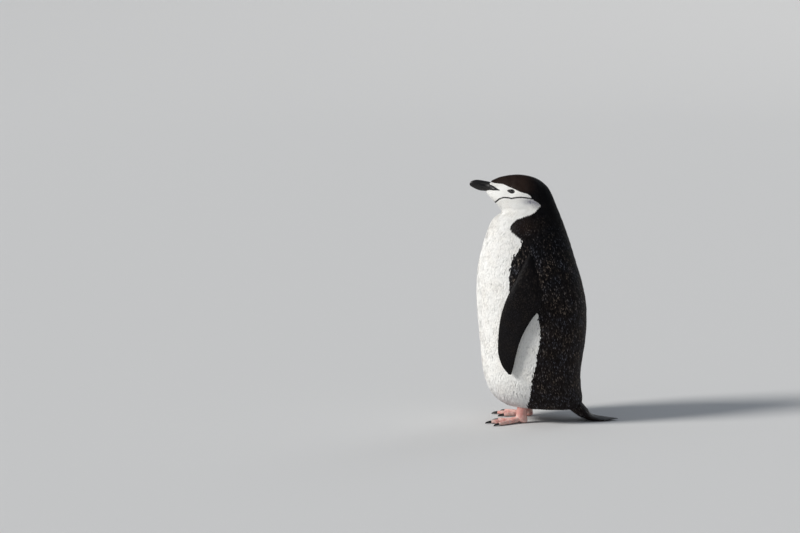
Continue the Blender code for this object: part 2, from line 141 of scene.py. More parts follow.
# unit normals of a grid that closes on itself sideways: cross product of its two differences
def gridNormals(p):
    along = np.gradient(p, axis=0)
    across = np.roll(p, -1, axis=1) - np.roll(p, 1, axis=1)
    n = np.cross(across, along)
    return n / np.maximum(np.linalg.norm(n, axis=-1, keepdims=True), 1e-12)


# a surface kept as a grid: points, outward normals and the size of one step each way
def makeSurface(p, inside):
    n = gridNormals(p)
    n[0], n[-1] = n[1], n[-2]
    if np.mean(np.sum(n * (p - inside), axis=-1)) < 0:
        n = -n
    stepI = np.linalg.norm(np.gradient(p, axis=0), axis=-1)
    stepJ = np.linalg.norm(np.roll(p, -1, axis=1) - np.roll(p, 1, axis=1), axis=-1) / 2
    table = np.concatenate([p, n, stepI[..., None], stepJ[..., None]], axis=-1)
    return {"p": p, "n": n, "stepI": stepI, "stepJ": stepJ, "table": table}


# bilinear value of the grid at any row i and column j, columns wrapping round
def sample(surface, i, j):
    table = surface["table"]
    rows, columns = table.shape[:2]
    i = np.clip(i, 0, rows - 1.001)
    i0 = i.astype(int)
    j0 = np.floor(j).astype(int)
    fi, fj = (i - i0)[..., None], (j - j0)[..., None]
    j0, j1 = j0 % columns, (j0 + 1) % columns
    return ((table[i0, j0] * (1 - fj) + table[i0, j1] * fj) * (1 - fi)
            + (table[i0 + 1, j0] * (1 - fj) + table[i0 + 1, j1] * fj) * fi)


def makeBodySurface():
    q = np.linspace(0, 17, 1700)
    turn = np.linspace(0, 2 * np.pi, 73)
    rough = bodyPoint(q[:, None] * np.ones(73), turn * np.ones((1700, 1)))
    way = np.concatenate([[0], np.cumsum(np.linalg.norm(np.diff(rough, axis=0), axis=-1).mean(axis=1))])
    rows, columns = bodyShape["rows"], bodyShape["columns"]
    q = np.interp(np.linspace(0, way[-1], rows), way, q)[:, None]
    turn = 2 * np.pi * np.arange(columns)[None, :] / columns
    p = bodyPoint(q * np.ones((1, columns)), turn * np.ones((rows, 1)))
    middle = p.mean(axis=1, keepdims=True)
    surface = makeSurface(p, middle)
    return makeSurface(p + surface["n"] * relief(p)[..., None], middle)


# distance from the middle plane to the flank at a place in the side view, by halving on the ring number
def sideX(y, z):
    low, high = np.zeros_like(y), np.full_like(y, len(bodyShape["stations"]) - 1.0)
    for _ in range(40):
        t = (low + high) / 2
        row = curveAt(bodyShape["stations"], t)
        across = (row[..., 2] - row[..., 0]) * (z - row[..., 1]) - (row[..., 3] - row[..., 1]) * (y - row[..., 0])
        low, high = np.where(across > 0, t, low), np.where(across > 0, high, t)
    span = row[..., 2:4] - row[..., 0:2]
    share = ((y - row[..., 0]) * span[..., 0] + (z - row[..., 1]) * span[..., 1]) / np.sum(span ** 2, axis=-1)
    c = np.clip(np.abs(2 * share - 1), 0, 1)
    return row[..., 4] * (1 - c ** bodyShape["oval"]) ** (1 / bodyShape["oval"])


# the markings, as lines on the flank: how far back white reaches, cap edge, chin strap
markings = {
    "edge": np.array([      # z, y
        (0.000, -0.036), (0.0456, -0.0379), (0.0532, -0.0346), (0.0654, -0.0313), (0.0887, -0.0285),
        (0.1115, -0.0258), (0.1294, -0.0200), (0.1451, -0.0165), (0.1630, -0.0145), (0.1785, -0.0115),
        (0.2073, -0.0090), (0.2293, -0.0110), (0.2513, -0.0143), (0.2644, -0.0231), (0.2709, -0.0407),
        (0.2792, -0.0627), (0.2940, -0.0759), (0.3092, -0.0770), (0.3308, -0.0765), (0.3481, -0.0750),
        (0.3650, -0.0705), (0.3760, -0.0645), (0.3880, -0.0560), (0.3960, -0.0500), (0.4020, -0.0484),
        (0.4080, -0.0535), (0.4130, -0.0605), (0.4200, -0.0693), (0.4272, -0.0759), (0.4336, -0.0752),
        (0.4423, -0.0693), (0.4488, -0.0610), (0.4533, -0.0490), (0.4586, -0.0330), (0.4638, -0.0225),
        (0.4722, -0.0150), (0.4784, -0.0095), (0.4851, 0.0050), (0.5500, 0.0050),
    ]),
    "cap": np.array([       # y, z
        (-0.1400, 0.5290), (-0.1265, 0.5277), (-0.1089, 0.5248), (-0.0913, 0.5234), (-0.0803, 0.5187),
        (-0.0649, 0.5129), (-0.0539, 0.5079), (-0.0385, 0.5037), (-0.0319, 0.4993), (-0.0275, 0.4917),
        (-0.0165, 0.4851), (-0.0088, 0.4784), (0.0000, 0.4700),
    ]),
    "strap": np.array([     # y, z
        (-0.1100, 0.4812), (-0.1050, 0.4868), (-0.1001, 0.4912), (-0.0913, 0.4950), (-0.0803, 0.4952),
        (-0.0737, 0.4938), (-0.0627, 0.4958), (-0.0517, 0.4966), (-0.0385, 0.4952), (-0.0240, 0.4925),
    ]),
    "strapWidth": (0.0048, 0.0029),     # under the chin, and on the cheek
    "ragged": 0.0011,
}


# 1 where the plumage is white, 0 where it is black, with the strap's line let in
def whiteness(p, ragged=0.0, fine=0.0):
    y, z = p[..., 1], p[..., 2]
    edge, cap, strap = markings["edge"], markings["cap"], markings["strap"]
    ahead = np.interp(z + fine, edge[:, 0], edge[:, 1]) - y + ragged
    below = np.interp(y, cap[:, 0], cap[:, 1]) - z + fine
    near = np.interp(y, (-0.108, -0.094), markings["strapWidth"]) / 2
    onStrap = (np.abs(z - np.interp(y, strap[:, 0], strap[:, 1]) + 0.2 * fine) < near) & (y < -0.022) & (y > -0.116)
    return np.where((ahead > 0) & (below > 0) & ~onStrap, 1.0, 0.0)


# second colour: painted shade in lavender grey on the white side of the neck and low belly, brown on the black crown
# and collar and towards the lower back
def shadeAndBrown(p, white):
    y, z = p[..., 1], p[..., 2]
    # painted shade: lavender grey patches on the white at the ear and nape
    earShade = 1.15 * np.exp(-((y + 0.0290) / 0.0170) ** 2 - ((z - 0.4868) / 0.0062) ** 2)
    napeShade = 0.55 * np.exp(-((y + 0.0140) / 0.0100) ** 2 - ((z - 0.4800) / 0.0080) ** 2)
    # painted shade: greyer towards the bottom of the white belly
    belly = 0.40 * np.clip((0.10 - z) / 0.06, 0, 1)
    shadeGrey = np.clip(earShade + napeShade + belly, 0, 1)
    crown = np.clip((z - 0.500) / 0.012, 0, 1) * np.clip((-0.018 - y) / 0.030, 0, 1)
    collar = 0.60 * np.exp(-((y + 0.0480) / 0.0300) ** 2 - ((z - 0.4350) / 0.0200) ** 2)
    # brown towards the lower back: partly the feathers' own brownish tone, partly painted warm glints
    back = 0.30 * np.clip((0.36 - z) / 0.16, 0, 1)
    return np.where(white > 0.5, shadeGrey, np.clip(np.maximum(crown, collar) + back, 0, 1))


# is this place on the face, where vanes are small and the markings are drawn finer than a vane
def faceShare(p):
    return np.clip((-0.030 - p[..., 1]) / 0.020, 0, 1) * np.clip((p[..., 2] - 0.474) / 0.008, 0, 1)


# neighbouring vanes lean together: a sum of four plane waves with random headings, about -1 to 1
def clumps(p, pitch, seed):
    draw = np.random.default_rng(seed)
    total = 0.0
    for _ in range(4):
        heading = draw.normal(0, 1, 3)
        total = total + np.sin(p @ (heading / np.linalg.norm(heading) * pitch * draw.uniform(0.6, 1.6)) + draw.uniform(0, 6))
    return total / 2.2


# which size of feather grows where: blends the trunk, neck, head and face values of a setting
def byPlace(name, p):
    kind = coatShape[name]
    up = p[..., 2] + 0.10 * np.clip(-p[..., 1] - 0.02, 0, 0.2)
    value = np.interp(up, (0.40, 0.455, 0.485), (kind["trunk"], kind["neck"], kind["head"]))
    face = faceShare(p)
    return value * (1 - face) + kind["face"] * face


# N places spread evenly by area: rows by running total, columns by the golden ratio within a row's total
def spread(surface, each, firstRow=0, lastRow=None):
    weight = surface["stepI"] * surface["stepJ"] / each
    weight[:firstRow] = 0
    if lastRow is not None:
        weight[lastRow:] = 0
    perRow = weight.sum(axis=1)
    total = np.concatenate([[0], np.cumsum(perRow)])
    count = int(total[-1])
    k = (np.arange(count) + 0.5) / count * total[-1]
    i = np.clip(np.searchsorted(total, k, side="right") - 1, 0, len(perRow) - 1)
    fi = (k - total[i]) / np.maximum(perRow[i], 1e-12)
    share = np.cumsum(weight, axis=1) / np.maximum(perRow, 1e-12)[:, None]
    flat = (share + np.arange(len(share))[:, None]).ravel()
    golden = (np.arange(count) * 0.6180339887 + 0.5) % 1.0
    j = np.clip(np.searchsorted(flat, i + golden) - i * share.shape[1], 0, share.shape[1] - 1)
    return i + fi, j + rng.random(count)


# one vane: root, three cross rows of left, ridge, right, and tip; u across, v along, h up
vaneShape = {
    "u": np.array([0, -0.70, 0, 0.70, -1.0, 0, 1.0, -0.62, 0, 0.62, 0]),
    "v": np.array([0, 0.24, 0.22, 0.24, 0.58, 0.58, 0.58, 0.84, 0.87, 0.84, 1.0]),
    "h": np.array([0, 0, 1.0, 0, 0, 1.0, 0, 0, 0.6, 0, 0]),
    "faces": [(0, 2, 1), (0, 3, 2), (0, 1, 3),
              (1, 2, 5, 4), (2, 3, 6, 5), (3, 1, 4, 6),
              (4, 5, 8, 7), (5, 6, 9, 8), (6, 4, 7, 9),
              (7, 8, 10), (8, 9, 10), (9, 7, 10)],
    "border": [(0, 1), (0, 3), (1, 4), (3, 6), (4, 7), (6, 9), (7, 10), (9, 10)],
    "thickness": 0.085,         # ridge height as a share of the vane's width
}


# corners of every vane: the surface at (root row + flow v L / step, root column + (u W / 2 + lean v L) / step)
# plus its normal times (-depth (1 - v)^1.3 + lift v^2 + tilt u W / 2 + ridge)
def vaneCorners(surface, i, j, length, width, depth, flow=1, lean=None, lift=None, tilt=None):
    root = sample(surface, i, j)
    none = np.zeros(len(i))
    lean, lift, tilt = (none if a is None else a for a in (lean, lift, tilt))
    u, v, h = vaneShape["u"][None, :], vaneShape["v"][None, :], vaneShape["h"][None, :]
    down = v * length[:, None]
    aside = u * width[:, None] / 2 + lean[:, None] * down
    ii = i[:, None] + flow * down / np.maximum(root[:, 6], 1e-6)[:, None]
    jj = j[:, None] + aside / np.maximum(root[:, 7], 2e-5)[:, None]
    there = sample(surface, ii, jj)
    height = (-depth[:, None] * (1 - v) ** 1.3 + lift[:, None] * v ** 2 + tilt[:, None] * u * width[:, None] / 2
              + h * width[:, None] * vaneShape["thickness"])
    return there[..., 0:3] + there[..., 3:6] * height[..., None]


# vanes as one mesh; plume holds white share, chance and the share of painted shade on white and of brown on black at
# each corner, OFBake a small patch for each vane
def vaneMesh(name, corners, plume, rootUv, patch=0.003):
    count, per = corners.shape[:2]
    faces = vaneShape["faces"]
    first = corners[:64]
    volume = 0.0
    for face in faces:
        for b, c in zip(face[1:-1], face[2:]):
            side = np.cross(first[:, face[0]] - first[:, 0], first[:, b] - first[:, 0])
            volume += np.sum(side * (first[:, c] - first[:, 0]))
    if volume < 0:
        faces = [face[::-1] for face in faces]
    sizes = np.array([len(face) for face in faces])
    loops = np.concatenate([np.array(face) for face in faces])
    allLoops = (loops[None, :] + per * np.arange(count)[:, None]).ravel()
    starts = np.concatenate([[0], np.cumsum(sizes)])
    allStarts = (starts[:-1][None, :] + starts[-1] * np.arange(count)[:, None]).ravel()
    mesh = bpy.data.meshes.new(name)
    fillMesh(mesh, corners.reshape(-1, 3), allLoops, allStarts)
    border = np.zeros((per, per), dtype=bool)
    for a, b in vaneShape["border"]:
        border[a, b] = border[b, a] = True
    ends = np.empty(len(mesh.edges) * 2, dtype=np.int32)
    mesh.edges.foreach_get("vertices", ends)
    ends = ends.reshape(-1, 2) % per
    sharp = mesh.attributes.new("sharp_edge", "BOOLEAN", "EDGE")
    sharp.data.foreach_set("value", border[ends[:, 0], ends[:, 1]])
    rgba = np.empty((count, per, 4))
    rgba[..., 0], rgba[..., 1], rgba[..., 3] = plume[..., 0], plume[..., 1], plume[..., 2]
    rgba[..., 2] = vaneShape["v"][None, :]
    setPlume(mesh, rgba.reshape(-1, 4))
    uv = rootUv[:, None, :] + np.stack([vaneShape["u"] * 0.3, vaneShape["v"] - 0.5], axis=-1)[None] * patch
    uvLayer = mesh.uv_layers.new(name="OFBake")
    uvLayer.data.foreach_set("uv", uv.reshape(-1, 2)[allLoops].astype(np.float32).ravel())
    return addPiece(name, mesh)


def fillMesh(mesh, verts, loops, starts):
    mesh.vertices.add(len(verts))
    mesh.vertices.foreach_set("co", verts.astype(np.float32).ravel())
    mesh.loops.add(len(loops))
    mesh.loops.foreach_set("vertex_index", loops.astype(np.int32))
    mesh.polygons.add(len(starts))
    mesh.polygons.foreach_set("loop_start", starts.astype(np.int32))
    mesh.polygons.foreach_set("use_smooth", np.ones(len(starts), dtype=bool))
    mesh.update(calc_edges=True)


def setPlume(mesh, rgba):
    colour = mesh.attributes.new("plume", "FLOAT_COLOR", "POINT")
    colour.data.foreach_set("color", rgba.astype(np.float32).ravel())


def addPiece(name, mesh, *materials):
    obj = bpy.data.objects.new(name, mesh)
    bpy.context.scene.collection.objects.link(obj)
    for mat in materials:
        mesh.materials.append(mat)
    return obj


# a tube of rows as plain arrays: quads between rows, a fan to a point at each end, uv from row and column in its box
def tubeArrays(p, uvBox=(0.02, 0.02, 0.98, 0.98), plume=None):
    rows, columns = p.shape[:2]
    start, end = p[0].mean(axis=0), p[-1].mean(axis=0)
    verts = np.concatenate([p.reshape(-1, 3), [start, end]])
    i, j = np.meshgrid(np.arange(rows - 1), np.arange(columns), indexing="ij")
    j1 = (j + 1) % columns
    quads = np.stack([i * columns + j, i * columns + j1, (i + 1) * columns + j1, (i + 1) * columns + j], axis=-1)
    quadUv = np.stack([np.stack([(j + a) / columns, (i + b) / (rows - 1)], axis=-1)
                       for a, b in ((0, 0), (1, 0), (1, 1), (0, 1))], axis=2)
    k = np.arange(columns)
    k1 = (k + 1) % columns
    low = np.stack([k1, k, np.full(columns, rows * columns)], axis=-1)
    high = np.stack([(rows - 1) * columns + k, (rows - 1) * columns + k1, np.full(columns, rows * columns + 1)], axis=-1)
    lowUv = np.stack([np.stack([(k + a) / columns, np.full(columns, b)], axis=-1)
                      for a, b in ((1, 0.0), (0, 0.0), (0.5, -0.01))], axis=1)
    highUv = np.stack([np.stack([(k + a) / columns, np.full(columns, b)], axis=-1)
                       for a, b in ((0, 1.0), (1, 1.0), (0.5, 1.01))], axis=1)
    volume = np.sum(np.cross(p[:-1] - start, np.roll(p, -1, axis=1)[:-1] - start) * (p[1:] - start))
    blocks = [(quads.reshape(-1, 4), quadUv.reshape(-1, 4, 2)), (low, lowUv), (high, highUv)]
    if volume < 0:
        blocks = [(loops[:, ::-1], uv[:, ::-1]) for loops, uv in blocks]
    loops = np.concatenate([block.ravel() for block, uv in blocks])
    sizes = np.concatenate([np.full(len(block), block.shape[1]) for block, uv in blocks])
    box = np.array(uvBox)
    uv = np.concatenate([uv.reshape(-1, 2) for block, uv in blocks])
    uv = box[:2] + (uv * (1, 0.98) + (0, 0.01)) * (box[2:] - box[:2])
    if plume is None:
        plume = np.zeros((rows, columns, 4))
    plume = np.concatenate([plume.reshape(-1, 4), [plume[0].mean(axis=0), plume[-1].mean(axis=0)]])
    return verts, loops, sizes, uv, plume


# several tubes as one mesh
def tubesMesh(name, parts, materials=(), uvName="OFBake"):
    before = np.cumsum([0] + [len(part[0]) for part in parts])
    verts = np.concatenate([part[0] for part in parts])
    loops = np.concatenate([part[1] + n for part, n in zip(parts, before)])
    sizes = np.concatenate([part[2] for part in parts])
    starts = np.concatenate([[0], np.cumsum(sizes)[:-1]])
    mesh = bpy.data.meshes.new(name)
    fillMesh(mesh, verts, loops, starts)
    if uvName:
        uvLayer = mesh.uv_layers.new(name=uvName)
        uvLayer.data.foreach_set("uv", np.concatenate([part[3] for part in parts]).astype(np.float32).ravel())
    setPlume(mesh, np.concatenate([part[4] for part in parts]))
    return addPiece(name, mesh, *materials)


# rings about a path: path point + radius (across cos turn + up sin turn), across and up square to the path
def tubeAlong(path, across, radii, columns=24):
    turn = 2 * np.pi * np.arange(columns) / columns
    along = np.gradient(path, axis=0)
    along /= np.linalg.norm(along, axis=1, keepdims=True)
    across = np.broadcast_to(across, path.shape)
    across = across - along * np.sum(across * along, axis=1, keepdims=True)
    across /= np.linalg.norm(across, axis=1, keepdims=True)
    up = np.cross(across, along)
    wide, high = radii[:, 0, None, None], radii[:, 1, None, None]
    return (path[:, None, :] + across[:, None, :] * wide * np.cos(turn)[None, :, None]
            + up[:, None, :] * high * np.sin(turn)[None, :, None])


# ---- materials


def newMaterial(name):
    mat = bpy.data.materials.new(name)
    mat.use_nodes = True
    nodes, links = mat.node_tree.nodes, mat.node_tree.links
    return mat, nodes, links, nodes["Principled BSDF"]


def node(nodes, kind, **values):
    made = nodes.new(kind)
    for key, value in values.items():
        if key in made.inputs:
            made.inputs[key].default_value = value
        else:
            setattr(made, key, value)
    return made


def feed(links, socket, value):
    if hasattr(value, "is_linked"):
        links.new(value, socket)
    else:
        socket.default_value = value


def mixColour(nodes, links, factor, a, b, mode="MIX"):
    made = nodes.new("ShaderNodeMix")
    made.data_type = "RGBA"
    made.blend_type = mode
    for socket, value in ((made.inputs[0], factor), (made.inputs[6], a), (made.inputs[7], b)):
        feed(links, socket, value)
    return made.outputs[2]


def ramp(nodes, links, factor, stops):
    made = nodes.new("ShaderNodeValToRGB")
    links.new(factor, made.inputs[0])
    bar = made.color_ramp
    while len(bar.elements) < len(stops):
        bar.elements.new(0.5)
    for element, (place, colour) in zip(bar.elements, stops):
        element.position = place
        element.color = (*colour, 1.0) if len(colour) == 3 else colour
    return made.outputs[0]


def calc(nodes, links, kind, a, b):
    made = nodes.new("ShaderNodeMath")
    made.operation = kind
    feed(links, made.inputs[0], a)
    feed(links, made.inputs[1], b)
    return made.outputs[0]


# a fraction remapped from one range to another
def spanned(nodes, links, value, low, high, toLow=0.0, toHigh=1.0):
    made = nodes.new("ShaderNodeMapRange")
    made.inputs["From Min"].default_value, made.inputs["From Max"].default_value = low, high
    made.inputs["To Min"].default_value, made.inputs["To Max"].default_value = toLow, toHigh
    links.new(value, made.inputs["Value"])
    return made.outputs[0]


def noise(nodes, links, scale, detail=2.0, stretch=None):
    place = nodes.new("ShaderNodeTexCoord").outputs["Object"]
    if stretch:
        mapping = nodes.new("ShaderNodeMapping")
        mapping.inputs["Scale"].default_value = stretch
        links.new(place, mapping.inputs["Vector"])
        place = mapping.outputs[0]
    made = node(nodes, "ShaderNodeTexNoise", Scale=scale, Detail=detail)
    links.new(place, made.inputs["Vector"])
    return made.outputs["Fac"]


def addBump(nodes, links, shader, height, strength, distance):
    bump = node(nodes, "ShaderNodeBump", Strength=strength, Distance=distance)
    links.new(height, bump.inputs["Height"])
    links.new(bump.outputs[0], shader.inputs["Normal"])


plumage = {
    "black": (0.0018, 0.0016, 0.0022, 1),
    "crown": (0.024, 0.0135, 0.0098, 1),
    # pale tips of black vanes: partly their own colour, partly painted glints
    "brownTipAndGlint": (0.240, 0.192, 0.156, 1),
    "blueTipAndGlint": (0.145, 0.150, 0.180, 1),
    "white": (0.85, 0.848, 0.825, 1),
    "cream": (0.845, 0.832, 0.795, 1),
    "shade": (0.27, 0.27, 0.28, 1),
    # lavender grey of the painted shade on the white plumage
    "shadeGrey": (0.160, 0.160, 0.215, 1),
    "roughness": (0.42, 0.62),
    "specular": 0.09,
}


# plume holds white share, chance, place along the vane and the share of painted shade on white and of brown on black
def makePlumage():
    mat, nodes, links, shader = newMaterial("plumage")
    plume = node(nodes, "ShaderNodeAttribute", attribute_name="plume")
    parts = nodes.new("ShaderNodeSeparateColor")
    links.new(plume.outputs["Color"], parts.inputs[0])
    white, chance, along, shadeAndBrownShare = parts.outputs[0], parts.outputs[1], parts.outputs[2], plume.outputs["Alpha"]
    patches = noise(nodes, links, 32.0, 3.0)
    fine = noise(nodes, links, 900.0)
    # pale brown and blue-grey tips on random black vanes, more of them lower on the body: partly the feathers' own
    # pale tips, partly painted glints
    tipShare = ramp(nodes, links, along, ((0.60, (0, 0, 0)), (0.95, (1, 1, 1))))
    worn = ramp(nodes, links, chance, ((0.30, (0, 0, 0)), (0.80, (0.16, 0.16, 0.16)), (1.0, (0.9, 0.9, 0.9))))
    warm = spanned(nodes, links, patches, 0.40, 0.60)
    tipsAndGlints = mixColour(nodes, links, warm, plumage["blueTipAndGlint"], plumage["brownTipAndGlint"])
    base = mixColour(nodes, links, shadeAndBrownShare, plumage["black"], plumage["crown"])
    height = nodes.new("ShaderNodeSeparateXYZ")
    links.new(nodes.new("ShaderNodeTexCoord").outputs["Object"], height.inputs[0])
    worn = calc(nodes, links, "MULTIPLY", worn, spanned(nodes, links, height.outputs[2], 0.46, 0.35, 0.10, 1.0))
    black = mixColour(nodes, links, calc(nodes, links, "MULTIPLY", tipShare, worn), base, tipsAndGlints)
    pale = mixColour(nodes, links, spanned(nodes, links, patches, 0.42, 0.66), plumage["white"], plumage["cream"])
    # grey spots at the tips of random white vanes: partly the feathers' own greyish tone, partly painted shade
    # between overlapping feathers
    stipple = ramp(nodes, links, chance, ((0.0, (1, 1, 1)), (0.20, (0.5, 0.5, 0.5)), (0.42, (0, 0, 0))))
    spots = calc(nodes, links, "MULTIPLY", stipple, spanned(nodes, links, patches, 0.38, 0.62, 0.12, 0.62))
    pale = mixColour(nodes, links, calc(nodes, links, "MULTIPLY", spots, tipShare), pale, plumage["shade"])
    # painted shade: lavender grey mixed into the white vanes by the plume's fourth channel
    pale = mixColour(nodes, links, calc(nodes, links, "MINIMUM", shadeAndBrownShare, 1.0), pale, plumage["shadeGrey"])
    links.new(mixColour(nodes, links, white, black, pale), shader.inputs["Base Color"])
    links.new(spanned(nodes, links, fine, 0.3, 0.7, *plumage["roughness"]), shader.inputs["Roughness"])
    addBump(nodes, links, shader, fine, 0.25, 0.0004)
    shader.inputs["Specular IOR Level"].default_value = plumage["specular"]
    return mat


footLook = {
    "pink": (0.70, 0.36, 0.32, 1),
    "pale": (0.80, 0.58, 0.52, 1),
    # darker red of the painted shade on the feet
    "shadeRed": (0.42, 0.105, 0.085, 1),
    "sole": (0.020, 0.017, 0.016, 1),
}


# foot skin: pink, with painted shade in darker red in the webs, towards the top of the shank and in the furrows
# between scales; black beneath; plume holds how black and how much painted shade
def makeFootSkin():
    mat, nodes, links, shader = newMaterial("footSkin")
    plume = node(nodes, "ShaderNodeAttribute", attribute_name="plume")
    parts = nodes.new("ShaderNodeSeparateColor")
    links.new(plume.outputs["Color"], parts.inputs[0])
    blotch = noise(nodes, links, 110.0, 4.0)
    cells = node(nodes, "ShaderNodeTexVoronoi", Scale=620.0, feature="DISTANCE_TO_EDGE")
    links.new(nodes.new("ShaderNodeTexCoord").outputs["Object"], cells.inputs["Vector"])
    scales = spanned(nodes, links, cells.outputs["Distance"], 0.0, 0.16)
    skin = mixColour(nodes, links, spanned(nodes, links, blotch, 0.38, 0.64), footLook["pink"], footLook["pale"])
    # painted shade: darker red by the plume's second channel, in the webs and towards the top of the shank
    skin = mixColour(nodes, links, calc(nodes, links, "MULTIPLY", parts.outputs[1], 0.85), skin, footLook["shadeRed"])
    # painted shade: darker red in the furrows between scales
    furrowShade = mixColour(nodes, links, spanned(nodes, links, scales, 0.0, 1.0, 0.30, 0.0), skin, footLook["shadeRed"])
    links.new(mixColour(nodes, links, parts.outputs[0], furrowShade, footLook["sole"]), shader.inputs["Base Color"])
    links.new(spanned(nodes, links, blotch, 0.3, 0.7, 0.40, 0.58), shader.inputs["Roughness"])
    addBump(nodes, links, shader, scales, 0.55, 0.00045)
    shader.inputs["Specular IOR Level"].default_value = 0.4
    shader.inputs["Subsurface Weight"].default_value = 0.08
    shader.inputs["Subsurface Radius"].default_value = (0.004, 0.0015, 0.001)
    return mat


hornLook = {
    "bill": {"dark": (0.0065, 0.0058, 0.0062, 1), "worn": (0.034, 0.028, 0.026, 1), "rough": (0.22, 0.36)},
    "nail": {"dark": (0.010, 0.009, 0.009, 1), "worn": (0.052, 0.042, 0.036, 1), "rough": (0.30, 0.46)},
    "shaft": {"dark": (0.0060, 0.0056, 0.0062, 1), "worn": (0.040, 0.033, 0.030, 1), "rough": (0.34, 0.52)},
}


# dark horn: long streaks along the bird, worn paler here and there
def makeHorn(name):
    look = hornLook[name]
    mat, nodes, links, shader = newMaterial(name + "Horn")
    streaks = noise(nodes, links, 240.0, 3.0, (1.0, 0.16, 1.0))
    blotch = noise(nodes, links, 95.0, 3.0)
    worn = calc(nodes, links, "MULTIPLY", spanned(nodes, links, streaks, 0.48, 0.80), spanned(nodes, links, blotch, 0.35, 0.7))
    links.new(mixColour(nodes, links, worn, look["dark"], look["worn"]), shader.inputs["Base Color"])
    links.new(spanned(nodes, links, streaks, 0.3, 0.7, *look["rough"]), shader.inputs["Roughness"])
    addBump(nodes, links, shader, streaks, 0.22, 0.0003)
    shader.inputs["Specular IOR Level"].default_value = 0.45
    return mat


plumageMaterial = makePlumage()
footMaterial = makeFootSkin()
billMaterial = makeHorn("bill")
nailMaterial = makeHorn("nail")
shaftMaterial = makeHorn("shaft")

# ---- flipper surface, needed by both skin and coat

flipperShape = {
    "stations": np.array([      # leading y, z, trailing y, z, thickness, distance off the flank
        (-0.0330, 0.3800, -0.0180, 0.3560, 0.0130, -0.0100),
        (-0.0500, 0.3470, -0.0085, 0.3240, 0.0150, -0.0045),
        (-0.0650, 0.3170, -0.0062, 0.2920, 0.0140, 0.0000),
        (-0.0805, 0.2860, -0.0090, 0.2640, 0.0115, 0.0022),
        (-0.0920, 0.2530, -0.0270, 0.2400, 0.0092, 0.0036),
        (-0.0981, 0.2200, -0.0436, 0.2118, 0.0076, 0.0048),
        (-0.1003, 0.1860, -0.0537, 0.1870, 0.0062, 0.0060),
        (-0.0995, 0.1600, -0.0612, 0.1590, 0.0052, 0.0072),
        (-0.0912, 0.1350, -0.0667, 0.1330, 0.0040, 0.0084),
        (-0.0775, 0.1170, -0.0712, 0.1165, 0.0026, 0.0094),
    ]),
    "rows": 260,
    "columns": 120,
    "edge": 0.0012,
    "depth": 0.0005,
    "length": 0.0052,
    "width": 0.0021,
    "each": 2.9e-6,
}


# point of the left flipper: chord from leading to trailing edge, half thickness sqrt(c) (1 - c)^0.8 either side
def makeFlipperSurface():
    rows, columns = flipperShape["rows"], flipperShape["columns"]
    row = curveAt(flipperShape["stations"], np.linspace(0, 9, rows))
    turn = 2 * np.pi * (np.arange(columns) + 0.5) / columns
    chord = (1 - np.cos(turn)) / 2
    full = np.sqrt(chord) * (1 - chord) ** 0.8
    full = full / full.max()
    lead, trail = row[:, 0:2], row[:, 2:4]
    near, far = lead * 0.8 + trail * 0.2, lead * 0.2 + trail * 0.8
    slope = (sideX(far[:, 0], far[:, 1]) - sideX(near[:, 0], near[:, 1])) / 0.6
    middle = (lead + trail) / 2
    base = sideX(middle[:, 0], middle[:, 1]) + row[:, 5] + row[:, 4] / 2
    rounding = np.sqrt(np.clip(1 - (2 * chord - 1) ** 8, 0, 1))
    half = np.maximum(row[:, 4:5] * full, flipperShape["edge"] * rounding) / 2
    x = base[:, None] + slope[:, None] * (chord - 0.5) + np.sign(np.sin(turn)) * half
    place = lead[:, None, :] + chord[None, :, None] * (trail - lead)[:, None, :]
    p = np.concatenate([x[..., None], place], axis=-1)
    return p, chord, np.sign(np.sin(turn))


bodySurface = makeBodySurface()
flipperGrid, flipperChord, flipperFace = makeFlipperSurface()
print("body surface", bodySurface["p"].shape, "flipper surface", flipperGrid.shape)


# the outside is black with a pale rim behind, the inside white with a dark front and tip
def flipperWhite(down, chord, outside):
    return np.where((outside < 0) & (chord > 0.12) & (chord < 0.94) & (down < 0.93) & (down > 0.12), 1.0, 0.0)


# plume of a skin: white share, middling chance, near the vane's root, share of painted shade on white and of brown on
# black
def skinPlume(p, white=None):
    white = whiteness(p) if white is None else white
    return np.stack([white, np.full(white.shape, 0.45), np.full(white.shape, 0.35), shadeAndBrown(p, white)], axis=-1)


# ---- the tail: a flat tapering stem under long stiff feathers

tailShape = {
    "stations": np.array([      # y, z, half width, thickness
        (0.0460, 0.0560, 0.0280, 0.0320), (0.0660, 0.0370, 0.0305, 0.0300), (0.0840, 0.0200, 0.0305, 0.0240),
        (0.1050, 0.0066, 0.0285, 0.0150), (0.1340, 0.0034, 0.0220, 0.0080), (0.1650, 0.0017, 0.0080, 0.0040)]),
    "rows": 160,
    "columns": 96,
    "feathers": 18,
    "width": 0.0088,
    "thickness": 0.0013,
    "floor": 0.0004,
}


# ring of the tail at t: half width x cos turn, thickness / 2 x sin turn square to its path, never below the floor
def tailPoint(t, turn, shrink=0.0):
    row = curveAt(tailShape["stations"], t)
    path = curveAt(tailShape["stations"], t + 0.05) - curveAt(tailShape["stations"], t - 0.05)
    steep = np.hypot(path[..., 0], path[..., 1])
    up = np.stack([-path[..., 1] / steep, path[..., 0] / steep], axis=-1)
    c, s = np.cos(turn), np.sin(turn)
    c = np.sign(c) * np.abs(c) ** 0.8
    x = (row[..., 2] - shrink) * c
    high = np.maximum(row[..., 3] / 2 - shrink, 0.0006) * s
    y, z = row[..., 0] + up[..., 0] * high, row[..., 1] + up[..., 1] * high
    return np.stack([x * np.ones_like(y), y, np.maximum(z, tailShape["floor"])], axis=-1)


